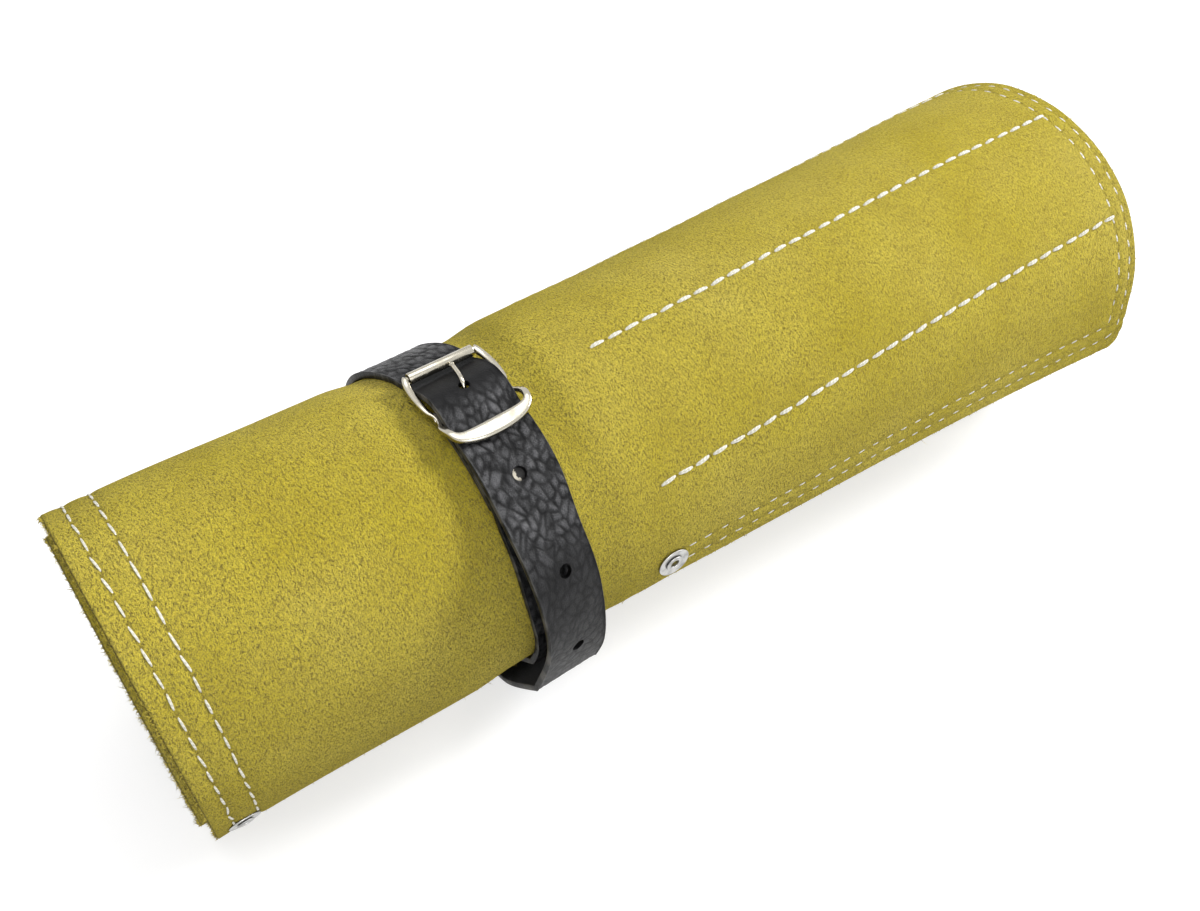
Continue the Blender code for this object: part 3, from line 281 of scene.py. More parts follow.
def outward(s, x):
    """Outward normal of the sheet: the cross product of its directions across and along."""
    step = 0.7 * MM
    along = on_sheet(s + step, x, 0.0) - on_sheet(s - step, x, 0.0)
    across = on_sheet(s, x + step, 0.0) - on_sheet(s, x - step, 0.0)
    return unit(np.cross(across, along))


# ---------- Seams ----------

STITCH_PITCH = 5.45 * MM
LEFT_ROWS = (4.7 * MM, 10.7 * MM)
LEFT_ROW_START = 1.2 * MM
RIM_ROWS = (ROLL_WIDTH - 2.5 * MM, ROLL_WIDTH - 7.0 * MM)
EDGE_ROWS = (4.7 * MM, 9.6 * MM)
DIVIDERS = 14
DIVIDER_START = 127 * MM
DIVIDER_END = 299.4 * MM
FIRST_DIVIDER = 34 * MM
DIVIDER_SPACING = 39.7 * MM


def skew(u, x):
    """How far the seams slant inwards at x, in a sheet whose straight lines are u."""
    full = np.interp(u, np.array((0, 12, 34, 73.7, 560, 600)) * MM, np.array((0, 0, 12.5, 11, 7, 0)) * MM)
    return full * np.clip((x - DIVIDER_START) / (DIVIDER_END - DIVIDER_START), 0.0, 1.0) ** 1.15


def row_groove(distance):
    """Bell curve across one row of stitches."""
    return np.exp(-(distance / (1.15 * MM)) ** 2)


def groove(u, x):
    """How strongly a seam pulls the suede in: a sum of bell curves across each row of stitches."""
    pocket = smoothstep(x, DIVIDER_START - 6 * MM, DIVIDER_START)
    total = sum(row_groove(x - row) for row in LEFT_ROWS + RIM_ROWS)
    for row in EDGE_ROWS:
        total = total + pocket * (row_groove(u - row) + row_groove(SHEET_LENGTH - u - row))
    nearest = np.clip(np.round((u - FIRST_DIVIDER) / DIVIDER_SPACING), 0, DIVIDERS - 1)
    inside = pocket * smoothstep(DIVIDER_END - x, -1 * MM, 1 * MM)
    total = total + inside * row_groove(u - FIRST_DIVIDER - nearest * DIVIDER_SPACING)
    return np.minimum(total, 1.0)


def ripple(u, x):
    """Slow unevenness of the hide: four sine waves, none near the sheet's ends or under the strap."""
    waves = (np.sin(TURN * (u / 0.047 + x / 0.083) + 0.4) + 0.8 * np.sin(TURN * (u / 0.029 - x / 0.061) + 2.1)
             + 0.6 * np.sin(TURN * (u / 0.071 - x / 0.037) + 4.0) + 0.5 * np.sin(TURN * (u / 0.019 + x / 0.045)))
    ends = smoothstep(u, 14 * MM, 30 * MM) * smoothstep(SHEET_LENGTH - u, 14 * MM, 30 * MM)
    return 0.085 * MM * waves * ends * (1.0 - grip(x))


def path_lengths(points):
    """Distance along a path of points from its start to each of them."""
    return np.concatenate(([0.0], np.cumsum(np.linalg.norm(np.diff(points, axis=0), axis=1))))


def slopes(y, z):
    """Directions along a path in (y, z)."""
    return unit(np.stack((np.gradient(y), np.gradient(z)), axis=-1))


def refined(low, high, step, rows, offsets):
    """Rising places from low to high: evenly stepped, but set by the offsets near each row."""
    offsets = np.array(offsets) * MM
    even = np.linspace(low, high, max(2, int(round((high - low) / step)) + 1))
    near = np.array([row + offset for row in rows for offset in offsets if low < row + offset < high])
    clear = [value for value in even
             if not len(near) or np.abs(near - value).min() > 0.45 * MM or value in (low, high)]
    places = np.unique(np.round(np.concatenate((clear, near)), 7))
    keep = np.concatenate(([True], np.diff(places) > 0.2 * MM))
    keep[-1] = True
    return places[keep]


# ---------- Meshes ----------

def grid_faces(rows, columns, around=False, flip=False):
    """Quads of a grid of points, closed round its columns if asked."""
    index = np.arange(rows * columns).reshape(rows, columns)
    if around:
        index = np.concatenate((index, index[:, :1]), axis=1)
    quads = np.stack((index[:-1, :-1], index[1:, :-1], index[1:, 1:], index[:-1, 1:]), axis=-1).reshape(-1, 4)
    return quads[:, ::-1] if flip else quads


def ring_faces(count, around):
    """Quads of a grid of points that is closed both ways."""
    return grid_faces(count + 1, around, around=True) % (count * around)


def new_mesh(name, points, faces):
    """Mesh of the points and faces."""
    mesh = bpy.data.meshes.new(name)
    mesh.from_pydata(np.asarray(points, float).reshape(-1, 3), [], [list(face) for face in faces])
    mesh.update()
    return mesh


def new_object(name, data):
    """Object for a mesh, lamp or camera, in the scene."""
    made = bpy.data.objects.new(name, data)
    bpy.context.scene.collection.objects.link(made)
    return made


def placement(side, along, out, place):
    """Matrix with three directions and a place as its columns."""
    matrix = np.eye(4)
    matrix[:3] = np.stack((side, along, out, place), axis=-1)
    return matrix


def add_piece(name, points, faces, uv, finish, body, replaced=()):
    """A piece of the object from its points and faces, riding on its body."""
    mesh = new_mesh(name, points, faces)
    if uv is not None:
        corners = np.zeros(len(mesh.loops), np.int32)
        mesh.loops.foreach_get("vertex_index", corners)
        layer = mesh.uv_layers.new(name="flat")
        layer.data.foreach_set("uv", np.asarray(uv, np.float32).reshape(-1, 2)[corners].ravel())
    mesh.shade_smooth()
    mesh.materials.append(finish)
    piece = new_object(name, mesh)
    if body:
        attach(piece, body)
    if replaced:
        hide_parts(*replaced)
    return piece


def sheet_shell(u, x, depth, faces_in):
    """Closed shell of a panel: its outer and inner faces on one grid of (u, x), and a rim between them.

    Both faces sink by the ripple; the grooves pull each towards the other by faces_in.
    The first and last lines of the grid are drawn in by 0.3 mm, which rounds the edges.
    """
    flat_u, flat_x = np.meshgrid(u, x, indexing="ij")
    short = np.maximum(CORNER_RADIUS - (flat_u - u[0]), 0.0)
    corner = CORNER_RADIUS - np.sqrt(CORNER_RADIUS ** 2 - 0.999 * short ** 2)
    shift = smoothstep(flat_x, ROLL_WIDTH - 12 * MM, ROLL_WIDTH) * corner
    s = flat_u + skew(flat_u, flat_x)
    pulled = groove(flat_u, flat_x)
    sunk = ripple(flat_u, flat_x)
    edge = np.zeros_like(flat_u)
    edge[[0, -1], :] = 0.3 * MM
    edge[:, [0, -1]] = 0.3 * MM
    outer = on_sheet(s, flat_x - shift, depth + sunk + faces_in[0] * pulled + edge)
    inner = on_sheet(s, flat_x - shift, depth + SUEDE + sunk - faces_in[1] * pulled - edge)
    rows, columns = flat_u.shape
    count = rows * columns
    index = np.arange(count).reshape(rows, columns)
    loop = np.concatenate((index[0, :-1], index[:-1, -1], index[-1, :0:-1], index[:0:-1, 0]))
    after = np.roll(loop, -1)
    rim = np.stack((after, loop, loop + count, after + count), axis=-1)
    quads = np.concatenate((grid_faces(rows, columns, flip=True), grid_faces(rows, columns) + count, rim))
    uv = np.stack((flat_u, flat_x), axis=-1).reshape(-1, 2)
    return (np.concatenate((outer.reshape(-1, 3), inner.reshape(-1, 3))), quads, np.concatenate((uv, uv)),
            edge_distance(flat_u, flat_x))


def edge_distance(flat_u, flat_x):
    """Distance to the nearest cut edge of the panel, for the points of both faces."""
    away = np.minimum(np.minimum(flat_u - flat_u.min(), flat_u.max() - flat_u),
                      np.minimum(flat_x - flat_x.min(), flat_x.max() - flat_x)).ravel()
    return np.concatenate((away, away))


def add_attribute(mesh, name, values):
    """One number for each point of the mesh."""
    mesh.attributes.new(name, "FLOAT", "POINT").data.foreach_set("value", np.asarray(values, np.float32).ravel())


def loft(rings):
    """Faces of closed rings joined in turn; rings is (count, around, 3) and its ends are flat caps."""
    count, around = rings.shape[:2]
    caps = [list(range(around))[::-1], list(range((count - 1) * around, count * around))]
    return grid_faces(count, around, around=True).tolist() + caps


def swept(path, across, out, half_width, half_height, steps):
    """Ring points round a path: across by the cosine and out by the sine, each times its half size."""
    angle = np.arange(steps) * TURN / steps
    wide = half_width[..., None, None] * np.cos(angle)[:, None]
    high = half_height[..., None, None] * np.sin(angle)[:, None]
    return path[..., None, :] + wide * across[..., None, :] + high * out[..., None, :]


def turned_points(profile, matrix, steps):
    """Rings of a solid turned about its Z: each (radius, height) of the profile, carried round in a circle."""
    angle = np.arange(steps) * TURN / steps
    radius, height = np.array(profile).T
    points = np.stack((
        radius[:, None] * np.cos(angle), radius[:, None] * np.sin(angle), np.repeat(height[:, None], steps, 1),
    ), axis=-1)
    matrix = np.array(matrix)
    return points @ matrix[:3, :3].T + matrix[:3, 3]


def turned_piece(name, profile, matrix, steps, finish, body, ring=True):
    """A turned piece whose profile closes on itself as a ring, or runs from cap to cap."""
    points = turned_points(profile, matrix, steps)
    faces = ring_faces(len(profile), steps) if ring else loft(points)
    add_piece(name, points, faces, None, finish, body, (name.replace("_look", ""),))


def rounded_profile(corners, radius, steps=3):
    """Profile with its corners cut round: each corner becomes a short quadratic curve."""
    corners = np.array(corners, float)
    before, after = np.roll(corners, 1, axis=0), np.roll(corners, -1, axis=0)
    made = []
    for a, b, c in zip(before, corners, after):
        reach_a = min(radius, 0.45 * np.linalg.norm(a - b))
        reach_c = min(radius, 0.45 * np.linalg.norm(c - b))
        start, end = b + unit(a - b) * reach_a, b + unit(c - b) * reach_c
        for share in np.linspace(0.0, 1.0, steps):
            made.append(tuple((1 - share) ** 2 * start + 2 * share * (1 - share) * b + share ** 2 * end))
    return made


# ---------- Materials ----------

class Nodes:
    """Short way to place and join the nodes of one tree."""

    def __init__(self, tree):
        self.tree = tree

    def add(self, kind, inputs=(), **settings):
        node = self.tree.nodes.new(kind)
        for key, value in settings.items():
            setattr(node, key, value)
        for key, value in dict(inputs).items():
            if isinstance(value, bpy.types.NodeSocket):
                self.tree.links.new(value, node.inputs[key])
            else:
                node.inputs[key].default_value = value
        return node

    def math(self, operation, a, b=0.0):
        return self.add("ShaderNodeMath", {0: a, 1: b}, operation=operation).outputs[0]

    def plus(self, a, b):
        return self.math("ADD", a, b)

    def minus(self, a, b):
        return self.math("SUBTRACT", a, b)

    def times(self, a, b):
        return self.math("MULTIPLY", a, b)

    def ramp(self, value, low, high, to_low=0.0, to_high=1.0):
        return self.add("ShaderNodeMapRange", {0: value, 1: low, 2: high, 3: to_low, 4: to_high},
                        interpolation_type="SMOOTHSTEP").outputs[0]

    def noise(self, vector, scale, detail=3.0, roughness=0.5):
        return self.add("ShaderNodeTexNoise", {
            "Vector": vector, "Scale": scale, "Detail": detail, "Roughness": roughness,
        }).outputs[0]

    def mix(self, factor, a, b):
        return self.add("ShaderNodeMix", {0: factor, 6: a, 7: b}, data_type="RGBA").outputs[2]

    def stretched(self, vector, scale, slant=0.0):
        turn = (0.0, 0.0, math.radians(slant))
        return self.add("ShaderNodeMapping", {"Vector": vector, "Scale": (*scale, 1.0), "Rotation": turn}).outputs[0]

    def flat(self):
        return self.add("ShaderNodeUVMap", uv_map="flat").outputs[0]

    def place(self):
        return self.add("ShaderNodeTexCoord").outputs["Object"]

    def parts(self, vector):
        return self.add("ShaderNodeSeparateXYZ", {0: vector}).outputs

    def attribute(self, name):
        return self.add("ShaderNodeAttribute", attribute_name=name).outputs["Fac"]

    def seen(self):
        """1 for what the camera, reflections and glass see, 0 for the light that falls on things."""
        rays = self.add("ShaderNodeLightPath").outputs
        mirrored = self.math("MAXIMUM", rays["Is Glossy Ray"], rays["Is Transmission Ray"])
        return self.math("MAXIMUM", rays["Is Camera Ray"], mirrored)


def new_group(name, inputs, outputs):
    """Empty node group with the named sockets: its nodes' helper, its given and its result sockets."""
    tree = bpy.data.node_groups.new(name, "ShaderNodeTree")
    for socket, kind, value in inputs:
        made = tree.interface.new_socket(socket, in_out="INPUT", socket_type=kind)
        if value is not None:
            made.default_value = value
    for socket, kind in outputs:
        tree.interface.new_socket(socket, in_out="OUTPUT", socket_type=kind)
    return Nodes(tree), tree.nodes.new("NodeGroupInput").outputs, tree.nodes.new("NodeGroupOutput").inputs


def new_material(name, constants):
    """Material with the constants on its Principled shader, and a helper for its nodes."""
    made = bpy.data.materials.new(name)
    made.use_nodes = True
    shader = made.node_tree.nodes["Principled BSDF"]
    for socket, value in constants.items():
        shader.inputs[socket].default_value = value
    return made, Nodes(made.node_tree), shader


def dress(n, shader, colour, height=None, strength=1.0, distance=MM, rough=None):
    """Join the colour, the bumps of a height and the roughness to the shader."""
    n.tree.links.new(colour, shader.inputs["Base Color"])
    if height is not None:
        bump = n.add("ShaderNodeBump", {"Height": height, "Strength": strength, "Distance": distance})
        n.tree.links.new(bump.outputs[0], shader.inputs["Normal"])
    if rough is not None:
        n.tree.links.new(rough, shader.inputs["Roughness"])


def nap_group():
    """Suede nap from a place on the flat hide: fine dark pits between raised tufts, clumps and slow mottling.

    Colour runs from a pit colour through the body of the hide to a tip colour; Height rises with the nap.
    Coarse is 1 where the nap stands up in open tufts and less where it lies smooth.
    """
    n, given, result = new_group("suede nap", (
        ("Flat", "NodeSocketVector", None), ("Coarse", "NodeSocketFloat", 1.0),
        ("Tips", "NodeSocketColor", (0.5, 0.4, 0.06, 1.0)), ("Roots", "NodeSocketColor", (0.2, 0.15, 0.02, 1.0)),
    ), (("Colour", "NodeSocketColor"), ("Height", "NodeSocketFloat")))
    flat = given["Flat"]
    slow = n.noise(flat, 19.0, 3.0, 0.55)
    drift = n.noise(flat, 85.0, 2.0, 0.5)
    bend = n.add("ShaderNodeTexNoise", {"Vector": flat, "Scale": 120.0, "Detail": 1.0}).outputs["Color"]
    lean = n.add("ShaderNodeVectorMath", {0: bend, 1: (0.0005, 0.0005, 0.0)}, operation="MULTIPLY").outputs[0]
    bent_flat = n.add("ShaderNodeVectorMath", {0: flat, 1: lean}, operation="ADD").outputs[0]
    tufts = n.noise(n.stretched(bent_flat, (1150.0, 2100.0), 24.0), 1.0, 4.0, 0.80)
    grains = n.noise(n.stretched(bent_flat, (2900.0, 3500.0), -12.0), 1.0, 2.0, 0.7)
    clumps = n.noise(n.stretched(bent_flat, (480.0, 640.0), 30.0), 1.0, 3.0, 0.65)
    level = n.plus(n.times(tufts, 0.55), n.plus(n.times(grains, 0.33), n.times(clumps, 0.12)))
    open_nap = n.times(given["Coarse"], n.ramp(slow, 0.32, 0.58, 0.72, 1.0))
    pits = n.times(n.ramp(level, 0.485, 0.400), open_nap)
    tips = n.times(n.ramp(level, 0.42, 0.60), n.plus(n.times(open_nap, 0.7), 0.3))
    rust = n.times(n.ramp(n.noise(flat, 700.0, 1.0), 0.60, 0.72), 0.30)
    body = n.mix(rust, n.mix(0.42, given["Roots"], given["Tips"]), (0.42, 0.25, 0.02, 1.0))
    shaded = n.mix(n.times(pits, 0.92), n.mix(tips, body, given["Tips"]), given["Roots"])
    toned = n.add("ShaderNodeHueSaturation", {
        "Color": shaded, "Value": n.plus(n.plus(n.times(slow, 0.34), n.times(drift, 0.24)), 0.71),
        "Saturation": n.minus(1.10, n.times(slow, 0.2)), "Hue": n.plus(0.494, n.times(n.plus(drift, clumps), 0.007)),
    }).outputs[0]
    n.tree.links.new(toned, result["Colour"])
    n.tree.links.new(n.minus(n.times(level, 1.6), n.times(pits, 0.25)), result["Height"])
    return n.tree


def hole_shade_group():
    """Painted shade in the needle holes of one row of stitches: 1 at a hole and in part between them, where the thread
    pulls.

    Along is the distance along the row, Pitch the spacing of the holes and Off the distance from the row.
    """
    n, given, result = new_group("needle holes", (
        ("Along", "NodeSocketFloat", 0.0), ("Pitch", "NodeSocketFloat", 0.0055), ("Off", "NodeSocketFloat", 1.0),
    ), (("Hole", "NodeSocketFloat"),))
    phase = n.math("PINGPONG", given["Along"], n.times(given["Pitch"], 0.5))
    away = n.math("SQRT", n.plus(n.times(phase, phase), n.times(given["Off"], given["Off"])))
    line = n.times(n.ramp(given["Off"], 0.8 * MM, 0.3 * MM), 0.3)
    n.tree.links.new(n.math("MAXIMUM", n.ramp(away, 0.65 * MM, 0.2 * MM), line), result["Hole"])
    return n.tree


def add_hole_shade(n, flat, holes):
    """Painted shade of the needle holes of all rows, over the flat place of the back panel."""
    u, x = n.parts(flat)[:2]
    total = None
    in_pocket = n.ramp(x, DIVIDER_START - 0.3 * MM, DIVIDER_START)
    in_dividers = n.times(in_pocket, n.ramp(x, DIVIDER_END + 0.3 * MM, DIVIDER_END))
    divider_off = n.math("PINGPONG", n.minus(u, FIRST_DIVIDER), 0.5 * DIVIDER_SPACING)
    rows = [(n.minus(u, LEFT_ROW_START), n.math("ABSOLUTE", n.minus(x, row)), None) for row in LEFT_ROWS]
    rows += [(u, n.math("ABSOLUTE", n.minus(x, row)), None) for row in RIM_ROWS]
    rows += [(x, n.math("ABSOLUTE", n.minus(u, row)), in_pocket) for row in EDGE_ROWS]
    rows.append((n.minus(x, DIVIDER_START), divider_off, in_dividers))
    for along, off, where in rows:
        found = n.add("ShaderNodeGroup", {"Along": along, "Pitch": STITCH_PITCH, "Off": off},
                      node_tree=holes).outputs[0]
        if where is not None:
            found = n.times(found, where)
        total = found if total is None else n.math("MAXIMUM", total, found)
    return total


def suede_material(name, tips, roots, nap, holes):
    """Matt napped suede, coarser towards the left end. Its cut edges are darker, partly the raw edge's own tone and
    partly painted shade between the rolled layers; its needle holes hold painted shade.
    """
    made, n, shader = new_material(name, {
        "Roughness": 0.95, "Specular IOR Level": 0.1, "Sheen Weight": 0.22, "Sheen Roughness": 0.5,
        "Sheen Tint": (1.0, 0.92, 0.45, 1.0),
    })
    flat = n.flat()
    x = n.parts(flat)[1]
    patches = n.times(n.minus(n.noise(flat, 14.0, 2.0), 0.5), 0.22)
    coarse = n.ramp(n.plus(x, patches), 0.12, 0.27, 1.0, 0.62)
    grown = n.add("ShaderNodeGroup", {"Flat": flat, "Coarse": coarse, "Tips": (*tips, 1.0), "Roots": (*roots, 1.0)},
                  node_tree=nap).outputs
    # Within about 0.6 mm of a cut edge: the raw edge's own darker tone, deepened by painted shade between the rolled
    # layers.
    ragged = n.plus(n.attribute("to_edge"), n.times(n.noise(flat, 1300.0, 2.0), 0.30 * MM))
    edge_tone_and_shade = n.mix(n.ramp(n.noise(n.stretched(flat, (2600.0, 900.0)), 1.0, 2.0), 0.35, 0.65),
                    (0.050, 0.036, 0.005, 1.0), (0.21, 0.160, 0.020, 1.0))
    colour = n.mix(n.ramp(ragged, 0.62 * MM, 0.22 * MM), grown["Colour"], edge_tone_and_shade)
    # Painted shade in the needle holes and along the stitch rows.
    if holes is not None:
        colour = n.mix(n.times(add_hole_shade(n, flat, holes), 0.62), colour, (0.14, 0.10, 0.012, 1.0))
    dress(n, shader, colour, n.times(grown["Height"], n.ramp(x, 0.12, 0.28, 1.0, 0.7)), 1.0, 1.4 * MM)
    return made


def thread_material(name):
    """Waxed cream thread: a twist of plies that runs slantwise round it."""
    made, n, shader = new_material(name, {"Roughness": 0.55, "Sheen Weight": 0.2})
    along, around = n.parts(n.flat())[:2]
    twist = n.math("SINE", n.plus(n.times(along, 5200.0), n.times(around, 2.0 * TURN)))
    level = n.plus(n.times(twist, 0.25), n.noise(n.place(), 2600.0, 2.0))
    colour = n.mix(n.ramp(level, 0.1, 0.9), (0.44, 0.42, 0.33, 1.0), (0.70, 0.69, 0.615, 1.0))
    dress(n, shader, colour, level, 0.5, 0.2 * MM)
    return made


def leather_material(name):
    """Black pebbled leather: painted shade in the creases, a painted highlight on the raised grain varied by dry wear,
    pores and fine wrinkles.
    """
    made, n, shader = new_material(name, {"Specular IOR Level": 0.13})
    flat = n.flat()
    pores = n.noise(flat, 3000.0, 2.0, 0.6)
    wrinkles = n.add("ShaderNodeTexVoronoi", {"Vector": flat, "Scale": 1500.0, "Randomness": 1.0},
                     feature="DISTANCE_TO_EDGE").outputs[0]
    drawn = n.noise(n.stretched(flat, (160.0, 1100.0)), 1.0, 3.0, 0.6)
    raised = n.attribute("raised")
    worn = n.plus(n.times(pores, 0.5), n.times(n.noise(flat, 130.0, 3.0, 0.6), 0.5))
    # Painted highlight rising to the pebble tops with the cube of the grain's height, painted shade in the creases;
    # the wear noise varies it.
    pebble_highlight_and_wear = n.times(n.math("POWER", raised, 3.0), n.ramp(worn, 0.38, 0.62, 0.30, 1.0))
    face = n.mix(pebble_highlight_and_wear, (0.0015, 0.0015, 0.0017, 1.0), (0.105, 0.105, 0.110, 1.0))
    side = n.mix(n.ramp(drawn, 0.45, 0.62), (0.012, 0.012, 0.012, 1.0), (0.075, 0.072, 0.066, 1.0))
    colour = n.mix(n.ramp(n.attribute("cut"), 0.4, 0.9), face, side)
    height = n.plus(n.times(n.ramp(wrinkles, 0.0, 0.12), 0.35), n.plus(pores, drawn))
    rough = n.plus(n.ramp(raised, 0.1, 0.8, 0.50, 0.30), n.times(pores, 0.14))
    dress(n, shader, colour, height, 0.45, 0.22 * MM, rough)
    return made


def head_material(name):
    """Rivet head seen through the first spare hole: cream, with painted shadow of the strap over its part right of the
    hole's middle.
    """
    made, n, shader = new_material(name, {"Roughness": 0.6})
    place = n.place()
    head_noise = n.noise(place, 900.0, 3.0, 0.6)
    # Cream to the left of the hole's middle; to the right, painted shadow of the strap over the head, its edge made
    # ragged by the noise.
    middle = STRAP_X + ROOT_SHIFT[0] - 0.5 * MM
    left = n.plus(n.minus(middle, n.parts(place)[0]), n.times(n.minus(head_noise, 0.5), 2.4 * MM))
    colour = n.mix(n.ramp(left, -0.1 * MM, 0.1 * MM), (0.012, 0.011, 0.010, 1.0), (0.80, 0.74, 0.60, 1.0))
    dress(n, shader, colour, head_noise, 0.5, 0.3 * MM)
    return made


def fibre_material(name):
    """Loose suede fibres: light and dark ones by their place."""
    made, n, shader = new_material(name, {"Roughness": 0.95})
    light = n.ramp(n.noise(n.place(), 900.0, 2.0), 0.35, 0.65)
    dress(n, shader, n.mix(light, (0.20, 0.150, 0.012, 1.0), (0.62, 0.50, 0.075, 1.0)))
    return made


def wear_group():
    """Fine scratches and dulled patches for plated metal, from a place on it."""
    n, given, result = new_group("plate wear", (("Place", "NodeSocketVector", None),),
                                 (("Dull", "NodeSocketFloat"), ("Scratch", "NodeSocketFloat")))
    drawn = n.add("ShaderNodeMapping", {"Vector": given["Place"], "Scale": (5200.0, 700.0, 900.0),
                                        "Rotation": (0.3, 0.2, 0.4)}).outputs[0]
    n.tree.links.new(n.ramp(n.noise(given["Place"], 320.0, 3.0, 0.6), 0.35, 0.75), result["Dull"])
    n.tree.links.new(n.noise(drawn, 1.0, 2.0, 0.6), result["Scratch"])
    return n.tree


def metal_material(name, bright, dull, rough_bright, rough_dull, wear, bump_strength):
    """Plated metal whose colour and gloss drift between a bright and a dulled state."""
    made, n, shader = new_material(name, {"Metallic": 1.0})
    worn = n.add("ShaderNodeGroup", {"Place": n.place()}, node_tree=wear).outputs
    colour = n.mix(worn["Dull"], (*bright, 1.0), (*dull, 1.0))
    rough = n.plus(n.ramp(worn["Dull"], 0.0, 1.0, rough_bright, rough_dull), n.times(worn["Scratch"], 0.06))
    dress(n, shader, colour, worn["Scratch"], bump_strength, 0.05 * MM, rough)
    return made


NAP = nap_group()
HOLE_SHADE = hole_shade_group()
WEAR = wear_group()
BACK_SUEDE = suede_material("back suede", (0.745, 0.594, 0.054), (0.115, 0.079, 0.003), NAP, HOLE_SHADE)
# The pocket and flap panels lie inside the roll: the same suede with darker tips, as painted shade of the inner
# layers.
SHADED_POCKET_SUEDE = suede_material("pocket suede in painted shade", (0.56, 0.46, 0.068), (0.20, 0.145, 0.007), NAP, None)
SHADED_FLAP_SUEDE = suede_material("flap suede in painted shade", (0.54, 0.44, 0.062), (0.20, 0.145, 0.007), NAP, None)
FIBRES = fibre_material("loose fibres")
THREAD = thread_material("cream thread")
LEATHER = leather_material("black pebbled leather")
NICKEL = metal_material("bright nickel", (0.53, 0.498, 0.42), (0.40, 0.372, 0.305), 0.13, 0.30, WEAR, 0.08)
ZINC = metal_material("dull zinc", (0.50, 0.50, 0.49), (0.30, 0.30, 0.295), 0.26, 0.5, WEAR, 0.5)
SHADOWED_HEAD = head_material("chipped rivet head")


# ---------- Panels ----------

COARSE_FROM = 0.345


def near_ends(places, length):
    """The places with three more close to each end, where the rounded edge needs them."""
    ends = (0.35, 0.9, 1.8)
    more = np.array([value * MM for value in ends] + [length - value * MM for value in ends])
    places = np.unique(np.concatenate((places, more)))
    return places[np.concatenate(([True], np.diff(places) > 0.15 * MM))]


def build_panels():
    """The back, pocket and flap panels, each one closed shell rolled from its flat cut."""
    offsets = (-2.3, -1.4, -0.7, 0.0, 0.7, 1.4, 2.3)
    seams = [FIRST_DIVIDER + k * DIVIDER_SPACING for k in range(DIVIDERS)]
    seams += list(EDGE_ROWS) + [SHEET_LENGTH - row for row in EDGE_ROWS]
    side_rows = list(LEFT_ROWS + RIM_ROWS)
    u = np.concatenate((refined(0.0, COARSE_FROM, 2.3 * MM, seams, offsets),
                        refined(COARSE_FROM, SHEET_LENGTH, 4.2 * MM, seams, offsets)[1:]))
    u = near_ends(u, SHEET_LENGTH)
    x = near_ends(refined(0.0, ROLL_WIDTH, 2.3 * MM, side_rows, offsets), ROLL_WIDTH)
    points, faces, uv, to_edge = sheet_shell(u, x, 0.0, (0.30 * MM, 0.05 * MM))
    back = add_piece("back_panel_suede", points, faces, uv, BACK_SUEDE, "roll", ("back_panel",))
    add_attribute(back.data, "to_edge", to_edge)
    spans = (
        ("pocket_panel_suede", "pocket_panel", ROLL_WIDTH - POCKET_DEPTH, ROLL_WIDTH - PANEL_INSET, SHADED_POCKET_SUEDE),
        ("flap_panel_suede", "flap_panel", PANEL_INSET, FLAP_DEPTH, SHADED_FLAP_SUEDE),
    )
    for name, node, low, high, finish in spans:
        u = refined(PANEL_INSET, SHEET_LENGTH - PANEL_INSET, 3.4 * MM, seams, offsets[1:-1])
        x = refined(low, high, 3.0 * MM, side_rows, offsets[1:-1])
        points, faces, uv, to_edge = sheet_shell(u, x, SUEDE + PANEL_GAP, (0.0, 0.28 * MM))
        panel = add_piece(name, points, faces, uv, finish, "roll", (node,))
        add_attribute(panel.data, "to_edge", to_edge)


# ---------- Loose fibres ----------

def build_fibres():
    """Short loose fibres on the raw edges of the outer turn: left end, free edge and rim.

    A fibre leaves the edge straight, bends as the square of the way along it and thins to a point.
    """
    generator = np.random.default_rng(77)
    along = np.array((0.0, 0.35, 0.7, 1.0))
    way = along[:, None]
    for name, count, start, reach in (("left", 2600, 0.5 * MM, 0.56), ("free", 1100, 0.5 * MM, ROLL_WIDTH - 8 * MM),
                                      ("rim", 900, 7 * MM, 0.32)):
        run = generator.uniform(start, reach, count)
        still = np.zeros(count)
        u, x = {"left": (run, still), "free": (still, run), "rim": (run, still + ROLL_WIDTH)}[name]
        s = u + skew(u, x)
        depth = generator.uniform(0.05, 0.95, count) * SUEDE
        base = on_sheet(s, x, depth)
        normal = outward(s, np.clip(x, MM, ROLL_WIDTH - MM))
        away = {"left": np.array((-1.0, 0.0, 0.0)), "rim": np.array((1.0, 0.0, 0.0)),
                "free": unit(base - on_sheet(s + MM, x, depth))}[name]
        away = np.broadcast_to(away, base.shape)
        side = np.cross(normal, away)
        spread = generator.normal(0.0, 0.5, (2, count, 1))
        heading = unit(away + spread[0] * side + 0.7 * spread[1] * normal)
        bend = generator.normal(0.0, 0.45, (2, count, 1))
        length = (0.22 + generator.gamma(2.2, 0.18, count))[:, None, None] * MM
        curve = way * heading[:, None] + way ** 2 * (bend[0] * side + bend[1] * normal)[:, None]
        path = (base - 0.15 * MM * away)[:, None] + length * curve
        path[..., 2] = np.maximum(path[..., 2], 0.1 * MM)
        radius = np.broadcast_to((0.12 - 0.095 * along) * MM, path.shape[:2])
        across = np.broadcast_to(unit(np.cross(heading, normal))[:, None], path.shape)
        out = np.broadcast_to(normal[:, None], path.shape)
        rings = swept(path, across, out, radius, radius, 3)
        add_piece(name + "_edge_fibres", rings, stitch_faces(count, len(along), 3), None, FIBRES, "roll")


# ---------- Stitches ----------

# Half thickness of a strand, how far its two strands lie apart, share of the pitch it fills, and its sinking
SEAM_LOOKS = {
    "left": (0.175 * MM, 0.11 * MM, 0.93, 0.08 * MM),
    "rim": (0.20 * MM, 0.12 * MM, 0.78, 0.30 * MM),
    "divider": (0.33 * MM, 0.27 * MM, 0.95, 0.05 * MM),
}


